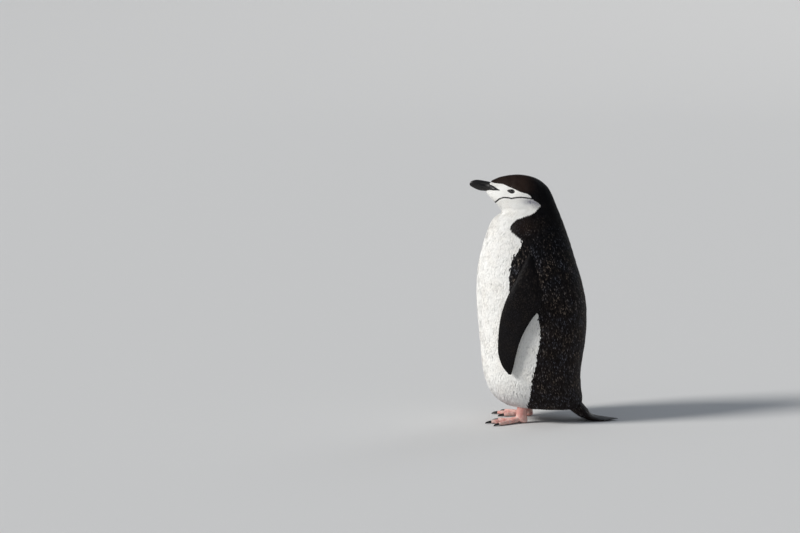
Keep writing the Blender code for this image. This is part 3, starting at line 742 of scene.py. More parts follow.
def makeTailSurface():
    t = np.linspace(0, 4.95, tailShape["rows"])[:, None]
    turn = 2 * np.pi * np.arange(tailShape["columns"])[None, :] / tailShape["columns"]
    p = tailPoint(t * np.ones_like(turn), turn * np.ones_like(t))
    return makeSurface(p, p.mean(axis=1, keepdims=True))


# ---- feet: toes, webs, heel and shank as tubes, melted together into one skin

footShape = {
    "x": 0.044,
    "y": {"left": -0.0500, "right": -0.0380},
    "out": np.radians(12),
    "spread": np.radians(27),
    "lengths": {"inner": 0.0520, "middle": 0.0660, "outer": 0.0620},
    "sides": {"inner": -1, "middle": 0, "outer": 1},
    "hind": (np.radians(-75), 0.0120, 0.0075, 0.45),
    "voxel": 0.0011,
}


# from the left foot's own axes, x outwards and y backwards, to its place under the bird
def placeFoot(p, side):
    c, s = np.cos(footShape["out"]), np.sin(footShape["out"])
    x, y, z = p[..., 0], p[..., 1], p[..., 2]
    turned = np.stack([x * c - y * s + footShape["x"], x * s + y * c + footShape["y"][side], z], axis=-1)
    return turned if side == "left" else turned * (-1, 1, 1)


# toe: radius swells at three joints and the tip, height sinks to the ground ahead
def toeTube(angle, length, size=1.0):
    way = np.linspace(0, 1, 60)
    heading = np.array((np.sin(angle), -np.cos(angle)))
    distance = length * way
    height = np.interp(way, (0, 0.15, 0.5, 0.9, 1), (0.0105, 0.0085, 0.0054, 0.0046, 0.0044)) * size
    path = np.stack([heading[0] * distance, heading[1] * distance, height], axis=-1)
    joints = sum(np.exp(-((way - at) / 0.055) ** 2) for at in (0.36, 0.60, 0.82))
    wide = (np.interp(way, (0, 0.3, 0.9, 1), (0.0060, 0.0050, 0.0046, 0.0038)) + 0.0007 * joints) * size
    high = (np.interp(way, (0, 0.3, 0.9, 1), (0.0066, 0.0050, 0.0042, 0.0034)) + 0.0006 * joints) * size
    side = np.array((heading[1], -heading[0], 0.0))
    return tubeAlong(path, side, np.stack([wide, high], axis=-1))


# web between two toes: distance from the ankle to a hollow edge, its sheet sagging between the toes in small folds
def webTube(first, last, reachFirst, reachLast):
    share = np.linspace(0, 1, 40)[:, None]
    angle = first + (last - first) * share
    reach = (reachFirst + (reachLast - reachFirst) * share) * (0.93 - 0.10 * np.sin(np.pi * share))
    way = np.linspace(0.12, 1, 50)[None, :]
    x, y = np.sin(angle) * reach * way, -np.cos(angle) * reach * way
    high = np.interp(way, (0.1, 0.5, 1.0), (0.0068, 0.0040, 0.0030)) - 0.0012 * np.sin(np.pi * share)
    high = high + 0.00035 * np.sin(share * 26.0) * way
    top = np.stack([x, y, high], axis=-1)
    low = np.stack([x, y, np.full(high.shape, 0.0006)], axis=-1)
    return np.concatenate([top, low[:, ::-1]], axis=1)


def shankTube():
    way = np.array((0.0, 0.15, 0.35, 0.6, 0.8, 1.0))
    path = np.stack([np.zeros(6), np.array((0.001, 0.001, 0.0015, 0.003, 0.006, 0.010)),
                     np.array((0.004, 0.010, 0.018, 0.030, 0.045, 0.064))], axis=-1)
    radii = np.stack([np.array((0.0090, 0.0102, 0.0096, 0.0100, 0.0115, 0.0135)),
                      np.array((0.0135, 0.0138, 0.0118, 0.0118, 0.0140, 0.0165))], axis=-1)
    fine = np.linspace(0, 1, 40)
    path = np.stack([np.interp(fine, way, path[:, k]) for k in range(3)], axis=-1)
    radii = np.stack([np.interp(fine, way, radii[:, k]) for k in range(2)], axis=-1)
    return tubeAlong(path, np.array((1.0, 0, 0)), radii, 32)


def heelBall():
    share = np.linspace(0.02, 0.98, 24)[:, None] * np.pi
    turn = 2 * np.pi * np.arange(32)[None, :] / 32
    x = 0.0098 * np.sin(share) * np.cos(turn)
    y = 0.0050 + 0.0098 * np.sin(share) * np.sin(turn)
    return np.stack([x, y, 0.0052 - 0.0052 * np.cos(share) * np.ones_like(turn)], axis=-1)


# the modifiers' result as a new mesh
def settled(obj):
    result = bpy.data.meshes.new_from_object(obj.evaluated_get(bpy.context.evaluated_depsgraph_get()))
    return result


def meshPoints(mesh):
    p = np.empty(len(mesh.vertices) * 3)
    mesh.vertices.foreach_get("co", p)
    return p.reshape(-1, 3)


# unfolds a piece by its own flat areas into a box of the map
def unfold(obj, box):
    for other in bpy.context.selected_objects:
        other.select_set(False)
    bpy.context.view_layer.objects.active = obj
    obj.select_set(True)
    bpy.ops.object.mode_set(mode="EDIT")
    bpy.ops.mesh.select_all(action="SELECT")
    bpy.ops.uv.smart_project(angle_limit=np.radians(66), island_margin=0.004)
    bpy.ops.object.mode_set(mode="OBJECT")
    layer = obj.data.uv_layers["OFBake"]
    uv = np.empty(len(obj.data.loops) * 2, dtype=np.float32)
    layer.data.foreach_get("uv", uv)
    box = np.array(box)
    layer.data.foreach_set("uv", (box[:2] + uv.reshape(-1, 2) * (box[2:] - box[:2])).astype(np.float32).ravel())
    obj.select_set(False)


def makeFootPart(side, box):
    lengths, angles = footShape["lengths"], {k: v * footShape["spread"] for k, v in footShape["sides"].items()}
    tubes = [toeTube(angles[toe], lengths[toe]) for toe in lengths]
    angle, reach, height, size = footShape["hind"]
    tubes += [toeTube(angle, reach + 0.002, size) + (0, 0, height - 0.0044 * size)]
    tubes += [webTube(angles["inner"], angles["middle"], lengths["inner"], lengths["middle"]),
              webTube(angles["middle"], angles["outer"], lengths["middle"], lengths["outer"])]
    tubes += [shankTube(), heelBall()]
    rough = tubesMesh("foot_rough", [tubeArrays(placeFoot(tube, side)) for tube in tubes], uvName=None)
    remesh = rough.modifiers.new("melt", "REMESH")
    remesh.mode, remesh.voxel_size, remesh.use_smooth_shade = "VOXEL", footShape["voxel"], True
    smooth = rough.modifiers.new("smooth", "SMOOTH")
    smooth.factor, smooth.iterations = 0.5, 4
    mesh = settled(rough)
    bpy.data.objects.remove(rough)
    p = meshPoints(mesh)
    p[:, 2] = np.maximum(p[:, 2], 0.0)
    mesh.vertices.foreach_set("co", p.astype(np.float32).ravel())
    mesh.update()
    mesh.materials.clear()
    mesh.uv_layers.new(name="OFBake")
    if "plume" in mesh.attributes:
        mesh.attributes.remove(mesh.attributes["plume"])
    n = np.empty(len(mesh.vertices) * 3)
    mesh.vertices.foreach_get("normal", n)
    n = n.reshape(-1, 3)
    black = 1 - ease((p[:, 2] - 0.0008 + 0.0010 * np.clip(n[:, 2] + 0.4, -1, 1)) / 0.0012)
    # painted shade: darker red on the upward faces of the webs near the ground and towards the top of the shank
    shadeRed = ease((0.0050 - p[:, 2]) / 0.0030) * np.clip(n[:, 2], 0, 1) * 0.8 + ease((p[:, 2] - 0.012) / 0.012) * 0.45
    setPlume(mesh, np.stack([black, np.clip(shadeRed, 0, 1), np.zeros(len(p)), np.zeros(len(p))], axis=-1))
    foot = addPiece("foot_part_" + side, mesh, plumageMaterial, footMaterial)
    mesh.polygons.foreach_set("material_index", np.ones(len(mesh.polygons), dtype=np.int32))
    mesh.polygons.foreach_set("use_smooth", np.ones(len(mesh.polygons), dtype=bool))
    unfold(foot, box)
    print("foot", side, len(mesh.polygons))
    return foot


# ---- one skin for trunk, neck, head, flippers, tail stem, legs and feet


def makeSkin():
    p, n = bodySurface["p"][2::3, ::2], bodySurface["n"][2::3, ::2]
    inside = p - n * (byPlace("depth", p) * 0.9)[..., None]
    plume = skinPlume(p)
    brow = np.clip((-0.1130 - p[..., 1]) / 0.004, 0, 1) * (p[..., 2] > 0.513) * (np.abs(p[..., 0]) < 0.013)
    inside[..., 1] += 0.0030 * brow             # tucked in and black where the bill's root meets the crown
    plume[brow > 0] *= (0, 1, 0, 0)
    both = (plumageMaterial, footMaterial)
    skin = tubesMesh("skin", [tubeArrays(inside, (0.01, 0.01, 0.60, 0.99), plume)], both)
    parts = []
    rows, columns = flipperGrid.shape[:2]
    down = np.linspace(0, 1, rows)[:, None] * np.ones((1, columns))
    white = flipperWhite(down, flipperChord[None, :], flipperFace[None, :])
    for k, side in enumerate(("left", "right")):
        surface = makeSurface(flipperGrid * (1 - 2 * k, 1, 1), (flipperGrid * (1 - 2 * k, 1, 1)).mean(axis=1, keepdims=True))
        grid = surface["p"] - surface["n"] * 0.0003
        plume = skinPlume(grid, white)
        plume[..., 3] = 0.0
        parts.append(tubesMesh("skin_flipper_" + side, [tubeArrays(
            grid[::4], (0.62 + 0.10 * k, 0.40, 0.71 + 0.10 * k, 0.99), plume[::4])], both))
    tail = makeTailSurface()
    grid = (tail["p"] - tail["n"] * 0.0012)[:130:2]
    grid[..., 2] = np.maximum(grid[..., 2], 0.0010)
    parts.append(tubesMesh("skin_tail", [tubeArrays(grid, (0.83, 0.40, 0.98, 0.99), skinPlume(grid, np.zeros(grid.shape[:2])))], both))
    parts += [makeFootPart("left", (0.62, 0.01, 0.79, 0.38)), makeFootPart("right", (0.81, 0.01, 0.98, 0.38))]
    for part in parts:
        union = skin.modifiers.new("union", "BOOLEAN")
        union.operation, union.solver, union.object = "UNION", "MANIFOLD", part
    mesh = settled(skin)
    mesh.name = "skin"
    for part in parts:
        bpy.data.objects.remove(part)
    bpy.data.objects.remove(skin)
    skin = addPiece("skin", mesh)
    mesh.polygons.foreach_set("use_smooth", np.ones(len(mesh.polygons), dtype=bool))
    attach(skin, "root")
    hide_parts("trunk", "neck", "head", "flipper_left", "flipper_right", "leg_left", "leg_right",
                "foot_left", "foot_right")
    print("skin", len(mesh.polygons), "faces,", len(mesh.materials), "materials")
    return tail


tailSurface = makeSkin()

# ---- coat of the body


def makeBodyCoat():
    surface = bodySurface
    p = surface["p"]
    i, j = spread(surface, byPlace("each", p), firstRow=3)
    at = sample(surface, i, j)
    root = at[:, :3]
    count = len(i)
    length = byPlace("length", root) * rng.normal(1.0, 0.10, count).clip(0.7, 1.35)
    width = byPlace("width", root) * rng.normal(1.0, 0.08, count).clip(0.75, 1.25)
    depth = byPlace("depth", root) * rng.uniform(0.85, 1.0, count)
    small = np.clip(length / 0.010, 0.2, 1)
    lean = rng.normal(0.0, 0.07, count) + 0.10 * clumps(root, 260.0, 1)
    loose = 0.00034 * (1 - 0.40 * whiteness(root))
    lift = (rng.normal(0.00010, 0.00016, count) + loose * clumps(root, 330.0, 2)) * small
    tilt = rng.normal(0.0, 0.08, count) + 0.10 * clumps(root, 300.0, 3)
    eyeY, eyeZ = -bodyShape["eye"][0], bodyShape["eye"][1]

    def offEye(q, reachY, reachZ):      # distance from the eye in units of the given reach
        return np.hypot((q[:, 1] - eyeY + 0.0008) / reachY, (q[:, 2] - eyeZ) / reachZ)

    tip = sample(surface, i - length / np.maximum(at[:, 6], 1e-6), j)[:, :3]
    keep = ((offEye(root, 0.0088, 0.0052) > 1) & (offEye(tip, 0.0076, 0.0042) > 1)) | (np.abs(root[:, 0]) < 0.012)
    i, j, root, length, width, depth, lean, lift, tilt = (
        a[keep] for a in (i, j, root, length, width, depth, lean, lift, tilt))
    corners = vaneCorners(surface, i, j, length, width, depth, -1, lean, lift, tilt)
    seen = corners[:, 5]
    rough = markings["ragged"] * np.clip(width / 0.0046, 0.2, 1)
    rougher = rough * (1 + 2.0 * np.exp(-((seen[:, 1] + 0.016) / 0.012) ** 2 - ((seen[:, 2] - 0.478) / 0.012) ** 2))
    wander, waver = rng.normal(0, 1, len(i)) * rougher, rng.normal(0, 1, len(i)) * rougher
    perVane = whiteness(seen, wander, waver)[:, None] * np.ones((1, 11))
    perCorner = whiteness(corners, 0.35 * wander[:, None], 0.35 * waver[:, None])
    drawn = (faceShare(seen) > 0.5) | (seen[:, 2] > 0.405)      # markings drawn finer than a vane
    white = np.where(drawn[:, None], perCorner, perVane)
    shadeAndBrownShare = shadeAndBrown(corners, white) * rng.uniform(0.55, 1.0, len(i))[:, None]
    plume = np.stack([white, rng.random(len(i))[:, None] * np.ones((1, 11)), shadeAndBrownShare], axis=-1)
    columns = p.shape[1]
    bands = coatShape["bands"]
    print("vanes on the body", len(i), "triangles", len(i) * 18)
    for b, name in enumerate(bands):
        part = slice(b * len(i) // len(bands), (b + 1) * len(i) // len(bands))
        low, high = i[part].min(), i[part].max()
        uv = np.stack([0.02 + 0.96 * (j[part] % columns) / columns, 0.02 + 0.96 * (i[part] - low) / (high - low)], axis=-1)
        coat = vaneMesh("coat_" + name, corners[part], plume[part], uv)
        coat.data.materials.append(plumageMaterial)
        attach(coat, "root")


makeBodyCoat()


# ---- coat of the flippers: small vanes like scales, longer at the shoulder


def makeFlipperCoat(side):
    grid = flipperGrid * ((1 if side == "left" else -1), 1, 1)
    surface = makeSurface(grid, grid.mean(axis=1, keepdims=True))
    rows, columns = grid.shape[:2]
    larger = np.interp(np.arange(rows) / rows, (0, 0.12, 0.42), (2.2, 2.0, 1.0))[:, None] * np.ones((1, columns))
    i, j = spread(surface, flipperShape["each"] * larger, firstRow=6, lastRow=rows - 3)
    count = len(i)
    size = rng.normal(1, 0.08, count).clip(0.8, 1.25)
    length = flipperShape["length"] * size * np.interp(i / rows, (0, 0.12, 0.42, 1), (3.0, 2.7, 1.0, 0.80))
    width = flipperShape["width"] * size * np.interp(i / rows, (0, 0.12, 0.42, 1), (1.7, 1.6, 1.0, 0.85))
    chord = np.interp(j % columns, np.arange(columns), flipperChord)
    outside = np.where((j % columns) < columns / 2, 1.0, -1.0)
    lean = rng.normal(0, 0.07, count) + 0.10 * outside
    where = sample(surface, i, j)[:, :3]
    loose = np.interp(i / rows, (0.1, 0.45), (1.0, 0.15))
    lift = (rng.normal(0.0001, 0.00018, count) + 0.00030 * clumps(where, 330.0, 4)) * loose
    tilt = rng.normal(0, 0.05, count) + 0.08 * clumps(where, 300.0, 5) * loose
    corners = vaneCorners(surface, i, j, length, width, np.full(count, flipperShape["depth"]), 1, lean, lift, tilt)
    white = flipperWhite(i / rows + 0.5 * length / 0.26, chord + rng.normal(0, 0.006, count), outside)
    shadeAndBrownShare = np.where(white > 0.5, 0.0, 0.05)
    plume = np.stack([white, rng.random(count) * 0.74, shadeAndBrownShare], axis=-1)[:, None, :] * np.ones((1, 11, 1))
    uv = np.stack([0.02 + 0.96 * (j % columns) / columns, 0.02 + 0.96 * i / rows], axis=-1)
    coat = vaneMesh("coat_flipper_" + side, corners, plume, uv)
    coat.data.materials.append(plumageMaterial)
    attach(coat, "root")
    print("flipper", side, count, "vanes")


makeFlipperCoat("left")
makeFlipperCoat("right")


# ---- tail: coverts on the stem and long stiff feathers over it


def makeTail():
    surface = tailSurface
    rows, columns = surface["p"].shape[:2]
    i, j = spread(surface, np.full((rows, columns), 5.5e-6), firstRow=3, lastRow=int(rows * 0.34))
    count = len(i)
    length = rng.normal(0.0200, 0.0020, count).clip(0.014, 0.026)
    width = rng.normal(0.0036, 0.0004, count)
    corners = vaneCorners(surface, i, j, length, width, np.full(count, 0.0022), 1, rng.normal(0, 0.08, count),
                          rng.normal(0.0002, 0.0003, count), rng.normal(0, 0.10, count))
    corners[..., 2] = np.maximum(corners[..., 2], 0.0004)
    plume = np.stack([np.zeros(count), rng.random(count), np.full(count, 0.25)], axis=-1)[:, None, :] * np.ones((1, 11, 1))
    uv = np.stack([0.02 + 0.96 * (j % columns) / columns, 0.02 + 0.96 * i / i.max()], axis=-1)
    coat = vaneMesh("coat_tail", corners, plume, uv)
    coat.data.materials.append(plumageMaterial)
    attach(coat, "root")

    # stiff feathers: along the stem at a share of its width, each lower and shorter than the next one inwards
    number = tailShape["feathers"]
    parts = []
    turn = 2 * np.pi * np.arange(14)[None, :] / 14
    for k in range(number):
        share = 2 * (k + 0.5) / number - 1
        v = np.linspace(0, 1, 60)[:, None]
        t = 0.9 + v[:, 0] * (4.06 - 0.60 * abs(share) ** 1.5 + rng.normal(0, 0.02))
        row = curveAt(tailShape["stations"], t)
        path = curveAt(tailShape["stations"], t + 0.05) - curveAt(tailShape["stations"], t - 0.05)
        steep = np.hypot(path[:, 0], path[:, 1])
        up = np.stack([-path[:, 1] / steep, path[:, 0] / steep], axis=-1)
        side = share * row[:, 2] * 0.86
        blade = tailShape["width"] * np.minimum(1, ((1.002 - v) / 0.12) ** 0.55) * np.interp(v, (0, 0.3, 1), (0.9, 1, 0.6))
        across = np.cos(turn) * blade / 2
        shaft = 0.0005 * np.exp(-(np.cos(turn) / 0.16) ** 2) * (np.sin(turn) > 0)
        lift = np.sin(turn) * tailShape["thickness"] / 2 * np.interp(v, (0, 1), (1.1, 0.7)) + shaft - 0.22 * share * across
        over = row[:, 3] * (0.50 * np.sqrt(1 - 0.85 * share ** 2) - 0.12) + 0.0007 * (1 - abs(share))
        y = row[:, 0, None] + up[:, 0, None] * (over[:, None] + lift)
        z = row[:, 1, None] + up[:, 1, None] * (over[:, None] + lift)
        sunk = np.maximum(tailShape["floor"] - z.min(axis=1, keepdims=True), 0)
        p = np.stack([side[:, None] + across, y, z + sunk], axis=-1)
        plume = np.stack([np.zeros(y.shape), np.full(y.shape, rng.uniform(0.3, 0.8)), v * 0.8 * np.ones_like(y),
                          np.full(y.shape, 0.25)], axis=-1)
        parts.append(tubeArrays(p, (0.01 + 0.98 * k / number, 0.01, 0.01 + 0.98 * (k + 0.9) / number, 0.99), plume))
    tail = tubesMesh("tail_feathers", parts, (shaftMaterial,))
    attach(tail, "root")
    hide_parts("tail")
    print("tail", count, "coverts,", number, "stiff feathers")


makeTail()

# ---- bill

billShape = {
    "stations": np.array([      # y, top z, parting z, bottom z, half width
        (-0.1650, 0.5226, 0.5203, 0.5194, 0.0010), (-0.1628, 0.5266, 0.5192, 0.5170, 0.0025),
        (-0.1573, 0.5294, 0.5187, 0.5138, 0.0042), (-0.1500, 0.5308, 0.5175, 0.5102, 0.0053),
        (-0.1410, 0.5301, 0.5157, 0.5075, 0.0066), (-0.1309, 0.5284, 0.5134, 0.5066, 0.0083),
        (-0.1210, 0.5262, 0.5116, 0.5062, 0.0117), (-0.1100, 0.5200, 0.5104, 0.5066, 0.0174),
        (-0.0990, 0.5120, 0.5096, 0.5076, 0.0222)]),
    "rows": 110,
    "columns": 64,
    "groove": 0.16,     # how deep the furrow by the nostril is, as a share of the half width
}


# upper half: x = half width |cos|, z from the parting up by sin^0.8, a furrow pressed into the side; lower half likewise
def makeBill(upper):
    rows, columns = billShape["rows"], billShape["columns"]
    t = np.linspace(0, 1, rows) ** 1.25 * 8
    y, top, parting, bottom, half = curveAt(billShape["stations"], t)[:, :, None].transpose(1, 0, 2)
    turn = 2 * np.pi * (np.arange(columns)[None, :] + 0.5) / columns
    c, s = np.cos(turn), np.sin(turn)
    rise = np.abs(s) ** 0.8
    if upper:
        high = np.where(s > 0, parting + 0.0002 + (top - parting) * rise, parting + 0.0002 - 0.0003 * rise)
        along = np.clip((y + 0.150) / 0.014, 0, 1) * np.clip((-0.122 - y) / 0.008, 0, 1)
        furrow = np.exp(-((rise - 0.52) / 0.13) ** 2) * (s > 0) * along
        nostril = np.exp(-((rise - 0.46) / 0.07) ** 2 - ((y + 0.1330) / 0.0036) ** 2) * (s > 0)
        lip = np.exp(-((rise - 0.06) / 0.09) ** 2) * (s > 0) * np.clip((y + 0.162) / 0.01, 0, 1)
        wide = half * (1 - billShape["groove"] * furrow - 0.18 * nostril + 0.05 * lip)
        plates = 0.010 * np.clip((y + 0.150) / 0.01, 0, 1) * np.cos(rise * 26.0) * (s > 0)
        wide = wide * (1 + plates)
    else:
        high = np.where(s > 0, parting - 0.0001 + 0.0002 * rise, parting - 0.0001 - (parting - bottom) * rise)
        wide = half * 0.95 * (1 + 0.012 * np.cos(rise * 22.0) * (s < 0))
    x = wide * np.sign(c) * np.abs(c) ** (0.95 if upper else 0.9)
    p = np.stack([x, y * np.ones_like(x), high], axis=-1)
    name = "upper" if upper else "lower"
    bill = tubesMesh(name + "_bill", [tubeArrays(p)], (billMaterial,))
    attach(bill, "root")
    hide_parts("bill_" + name)


makeBill(True)
makeBill(False)

# ---- eyes and lids

eyeShape = {
    "radius": 0.0056,
    "shows": 0.0019,            # how far the eyeball stands out of the face
    "cornea": 0.00035,
    "pupil": 0.0026,
    "iris": 0.0043,
    "rear": 0.0050,             # the lids' opening behind, ahead, above and below the middle
    "front": 0.0088,
    "high": 0.0029,
    "up": np.radians(11),       # the opening's slope towards the bill
    "rim": np.array([           # lids from deep inside to deep outside: scale, height
        (0.97, 0.0000), (1.00, 0.0002), (1.08, 0.0009), (1.18, 0.0010), (1.28, 0.0006),
        (1.36, -0.0004), (1.40, -0.0016), (1.38, -0.0036)]),
}
eyeLook = {
    "pupil": (0.002, 0.002, 0.002, 1),
    "iris": (0.022, 0.008, 0.005, 1),
    "rim": (0.012, 0.009, 0.008, 1),
}


def faceX(y, z):
    x = sideX(y, z)
    return x + relief(np.stack([x, y, z], axis=-1)) / 0.9


# middle of the left eye's opening on the face, with the axes forward, up and outward there
def eyeAxes():
    y, z = -bodyShape["eye"][0], bodyShape["eye"][1]
    step = 0.004
    at = faceX(np.array((y, y - step, y + step, y, y)), np.array((z, z, z, z + step, z - step)))
    alongY = np.array(((at[2] - at[1]) / (2 * step), 1.0, 0.0))
    alongZ = np.array(((at[3] - at[4]) / (2 * step), 0.0, 1.0))
    out = np.cross(alongY, alongZ)
    out = out / np.linalg.norm(out) * np.sign(out[0])
    out = out * 0.75 + np.array((0.25, 0.0, 0.0))
    out /= np.linalg.norm(out)
    tilt = eyeShape["up"]
    forward = np.array((0.0, -np.cos(tilt), np.sin(tilt)))
    forward -= out * np.dot(forward, out)
    forward /= np.linalg.norm(forward)
    up = np.cross(forward, out)
    up = up * np.sign(up[2])
    return np.array((at[0], y, z)), forward, up, out


# eyeball: a ball with a slightly raised cornea; gaze holds the distance from its axis
def makeEyeball(side):
    middle, forward, up, out = eyeAxes()
    r = eyeShape["radius"]
    share = np.linspace(0.01, 0.99, 64)[:, None] * np.pi
    turn = 2 * np.pi * np.arange(64)[None, :] / 64
    aside, ahead = r * np.sin(share), r * np.cos(share) * np.ones_like(turn)
    ahead = ahead + eyeShape["cornea"] * np.exp(-(aside / 0.0036) ** 2) * (ahead > 0)
    ball = (middle + out * (eyeShape["shows"] - r) + forward * (aside * np.cos(turn))[..., None]
            + up * (aside * np.sin(turn))[..., None] + out * ahead[..., None])
    gaze = np.where(ahead > 0, aside * np.ones_like(turn), r) / r
    plume = np.stack([gaze, 0.5 + 0.5 * np.cos(turn * 1.0) * np.ones_like(gaze), np.zeros(gaze.shape), gaze], axis=-1)
    ball = ball * ((1 if side == "left" else -1), 1, 1)
    eye = tubesMesh("eyeball_" + side, [tubeArrays(ball, plume=plume)], (eyeMaterial,))
    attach(eye, "root")
    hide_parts("eye_" + side)


# lids: rings about the opening, an oval with a pointed front corner, lying on the eyeball inside and the face outside
def makeLids(side):
    middle, forward, up, out = eyeAxes()
    turn = 2 * np.pi * np.arange(96) / 96
    c, s = np.cos(turn), np.sin(turn)
    u = np.where(c > 0, eyeShape["front"], eyeShape["rear"]) * c
    v = eyeShape["high"] * s * (1 - 0.62 * np.clip(c, 0, 1) ** 1.6)
    reach = np.hypot(u, v)
    r = eyeShape["radius"]
    hug = np.sqrt(np.clip(r * r - reach ** 2, 0, None)) - r + eyeShape["shows"]
    hug = np.where(reach < r, hug, eyeShape["shows"] - r)
    rows = []
    for share in (0.04, 0.35, 0.65, 0.88):      # dark skin inside the opening, pierced by the eyeball
        spot = middle + forward * (share * u)[:, None] + up * (share * v)[:, None]
        rows.append(spot + out * (faceX(spot[:, 1], spot[:, 2]) - spot[:, 0] + 0.0003)[:, None])
    for scale, high in eyeShape["rim"]:
        grown = 1 + (scale - 1) * 0.0042 / np.maximum(reach, 0.003)
        uu, vv = u * grown, v * grown + np.sign(s) * np.abs(s) ** 0.7 * max(scale - 1, 0) * 0.0012
        spot = middle + forward * uu[:, None] + up * vv[:, None]
        face = faceX(spot[:, 1], spot[:, 2]) - spot[:, 0]
        share = np.clip((scale - 1.0) / 0.30, 0, 1)
        base = face * share + np.maximum(hug, face + 0.0003) * (1 - share)
        rows.append(spot + out * (base + high)[:, None])
    p = np.array(rows)
    t = np.linspace(0, len(p) - 1, 40)
    p = curveAt(p.reshape(len(p), -1), t).reshape(40, 96, 3)
    p = p * ((1 if side == "left" else -1), 1, 1)
    lids = tubesMesh("lids_" + side, [tubeArrays(p)], (lidMaterial,))
    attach(lids, "root")


# dark eye: black pupil, deep brown iris with fine rays, wet and glossy
def makeEyeMaterial():
    mat, nodes, links, shader = newMaterial("eyeWet")
    shader.inputs["Specular IOR Level"].default_value = 0.25
    plume = node(nodes, "ShaderNodeAttribute", attribute_name="plume")
    parts = nodes.new("ShaderNodeSeparateColor")
    links.new(plume.outputs["Color"], parts.inputs[0])
    rays = noise(nodes, links, 700.0, 3.0)
    iris = mixColour(nodes, links, spanned(nodes, links, rays, 0.35, 0.7), eyeLook["iris"], eyeLook["rim"])
    r = eyeShape["radius"]
    inPupil = spanned(nodes, links, parts.outputs[0], eyeShape["pupil"] / r, eyeShape["pupil"] / r + 0.05)
    outside = spanned(nodes, links, parts.outputs[0], eyeShape["iris"] / r, eyeShape["iris"] / r + 0.10)
    colour = mixColour(nodes, links, inPupil, eyeLook["pupil"], iris)
    links.new(mixColour(nodes, links, outside, colour, eyeLook["rim"]), shader.inputs["Base Color"])
    links.new(spanned(nodes, links, rays, 0.3, 0.7, 0.05, 0.10), shader.inputs["Roughness"])
    addBump(nodes, links, shader, rays, 0.03, 0.0001)
    shader.inputs["Coat Weight"].default_value = 1.0
    shader.inputs["Coat Roughness"].default_value = 0.02
    return mat


# bare black skin of the lids, finely wrinkled
def makeLidMaterial():
    mat, nodes, links, shader = newMaterial("lidSkin")
    grain = noise(nodes, links, 1500.0, 3.0)
    links.new(mixColour(nodes, links, spanned(nodes, links, grain, 0.4, 0.8), (0.007, 0.006, 0.006, 1), (0.030, 0.024, 0.022, 1)),
              shader.inputs["Base Color"])
    links.new(spanned(nodes, links, grain, 0.3, 0.7, 0.38, 0.60), shader.inputs["Roughness"])
    addBump(nodes, links, shader, grain, 0.4, 0.0002)
    return mat


eyeMaterial, lidMaterial = makeEyeMaterial(), makeLidMaterial()
for side in ("left", "right"):
    makeEyeball(side)
    makeLids(side)

# ---- claws

clawShape = {"length": 0.0140, "radius": 0.0033, "height": 0.0042}


# claw: a tapering tube, reach = length sin, sinking to the ground, radius (1 - share)^0.6
def clawRings(angle, reach, height, size):
    heading = np.array((np.sin(angle), -np.cos(angle)))
    share = np.concatenate([[-0.32, -0.12], np.linspace(0, 0.985, 26)])
    length, radius = clawShape["length"] * size, clawShape["radius"] * size
    ahead = np.where(share > 0, length * np.sin(np.clip(share, 0, 1) * np.pi / 2 * 0.9), share * length)
    z = height - (height - 0.0010) * np.clip(share, 0, 1) ** 1.6
    path = np.stack([heading[0] * (reach + ahead), heading[1] * (reach + ahead), z], axis=-1)
    thick = radius * np.clip(1 - np.clip(share, 0, 1), 0.02, 1) ** 0.6 * np.interp(share, (-0.32, 0, 0.1), (0.80, 0.92, 1.0))
    side = np.array((heading[1], -heading[0], 0.0))
    p = tubeAlong(path, side, np.stack([thick * 0.80, thick * 1.02], axis=-1), 20)
    p[..., 2] = np.maximum(p[..., 2], 0.0)
    return p


def makeClaws():
    for side in ("left", "right"):
        for toe, lateral in footShape["sides"].items():
            rings = clawRings(lateral * footShape["spread"], footShape["lengths"][toe], clawShape["height"], 1.0)
            makeClaw(side, toe, rings)
        angle, reach, height, size = footShape["hind"]
        makeClaw(side, "hind", clawRings(angle, reach, height, size))


def makeClaw(side, toe, rings):
    claw = tubesMesh(f"nail_{side}_{toe}", [tubeArrays(placeFoot(rings, side))], (nailMaterial,))
    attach(claw, "root")
    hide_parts(f"claw_{side}_{toe}")


makeClaws()
print("bill, eyes and claws made")

# ---- stage, light and camera


stage = {"flat": 9.0, "radius": 22.0, "bend": 0.035, "colour": (0.68, 0.68, 0.675, 1)}


# a wide pale floor that curves up far behind: height = bend * (radius - flat) squared
def makeStage():
    columns = 96
    radius = np.concatenate([[0.5, 2.0, 5.0], np.linspace(stage["flat"], stage["radius"], 30)])[:, None]
    turn = 2 * np.pi * np.arange(columns)[None, :] / columns
    z = stage["bend"] * np.maximum(radius - stage["flat"], 0) ** 2 * np.ones_like(turn)
    verts = np.stack([radius * np.cos(turn), radius * np.sin(turn), z], axis=-1).reshape(-1, 3)
    i, j = np.meshgrid(np.arange(len(radius) - 1), np.arange(columns), indexing="ij")
    first, nextOne = i * columns + j, i * columns + (j + 1) % columns
    faces = np.stack([first, first + columns, nextOne + columns, nextOne], axis=-1).reshape(-1, 4).tolist()
    mesh = bpy.data.meshes.new("floor")
    mesh.from_pydata(verts.tolist(), [], faces + [list(range(columns))])
    mesh.polygons.foreach_set("use_smooth", np.ones(len(mesh.polygons), bool))
    mat, nodes, links, shader = newMaterial("paleFloor")
    shader.inputs["Base Color"].default_value = stage["colour"]
    shader.inputs["Roughness"].default_value = 0.85
    shader.inputs["Specular IOR Level"].default_value = 0.1
    addPiece("floor", mesh, mat)


cameraShape = {
    "distance": 6.0,
    "azimuth": 90.0,
    "elevation": 8.0,
    "perPixel": 0.0022,
    "frame": (800, 533),
    "lookAt": (0.0, -0.0298, 0.2650),       # a point of the bird
    "lookAtPixel": (531.0, 299.7),          # where it stands in the picture
}

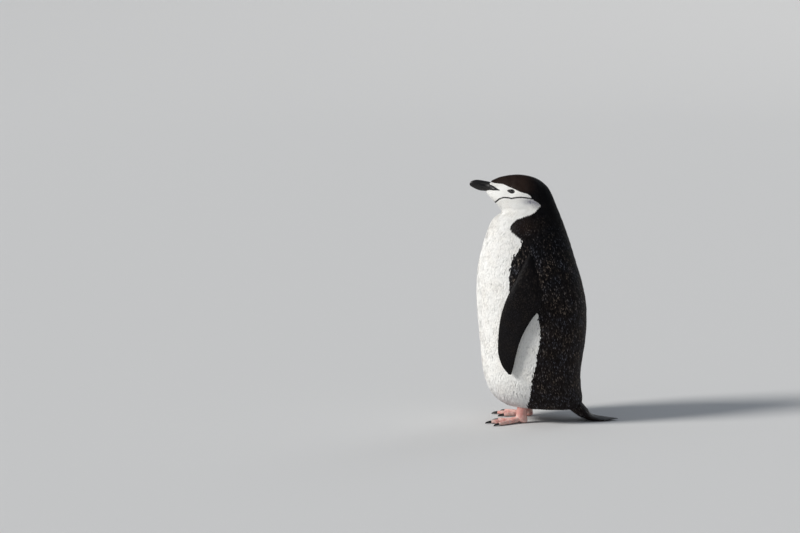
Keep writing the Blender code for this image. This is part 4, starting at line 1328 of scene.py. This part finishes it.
lights = {
    "key": {"from": (0.31, -0.80, 0.51), "strength": 3.3, "angle": 16.0, "colour": (1.0, 0.975, 0.94)},
    "back": {"from": (-0.70, 0.45, 0.60), "strength": 0.22, "angle": 25.0, "colour": (0.90, 0.95, 1.0)},
}
sky = {"colour": (0.80, 0.88, 1.0, 1), "strength": 0.27}


def aim(obj, at, target):
    obj.location = at
    obj.rotation_euler = (Vector(target) - Vector(at)).to_track_quat("-Z", "Y").to_euler()


def makeLights():
    for name, light in lights.items():
        data = bpy.data.lights.new(name, "SUN")
        data.energy, data.color = light["strength"], light["colour"]
        data.angle = np.radians(light["angle"])
        lamp = bpy.data.objects.new(name, data)
        bpy.context.scene.collection.objects.link(lamp)
        aim(lamp, tuple(3 * a for a in light["from"]), (0, 0, 0))
    world = bpy.data.worlds.new("studio")
    bpy.context.scene.world = world
    world.use_nodes = True
    world.node_tree.nodes["Background"].inputs[0].default_value = sky["colour"]
    world.node_tree.nodes["Background"].inputs[1].default_value = sky["strength"]


# the camera keeps lookAt on lookAtPixel: it aims at lookAt less the pixel's offset in the picture's plane
def makeCamera():
    az, el = np.radians(cameraShape["azimuth"]), np.radians(cameraShape["elevation"])
    back = np.array((np.cos(el) * np.sin(az), -np.cos(el) * np.cos(az), np.sin(el)))
    right = np.array((np.cos(az), np.sin(az), 0.0))
    up = np.cross(back, right)
    wide, high = cameraShape["frame"]
    px, py = cameraShape["lookAtPixel"]
    target = np.array(cameraShape["lookAt"])
    aside = (px - wide / 2) * cameraShape["perPixel"]
    above = (high / 2 - py) * cameraShape["perPixel"]
    data = bpy.data.cameras.new("camera")
    data.sensor_width = 36.0
    data.lens = 36.0 * cameraShape["distance"] / (wide * cameraShape["perPixel"])
    data.clip_end = 300.0
    camera = bpy.data.objects.new("camera", data)
    bpy.context.scene.collection.objects.link(camera)
    aim(camera, tuple(target + back * cameraShape["distance"]), tuple(target - right * aside - up * above))
    bpy.context.scene.camera = camera


makeStage()
makeLights()
makeCamera()
bpy.context.scene.view_settings.view_transform = "Standard"
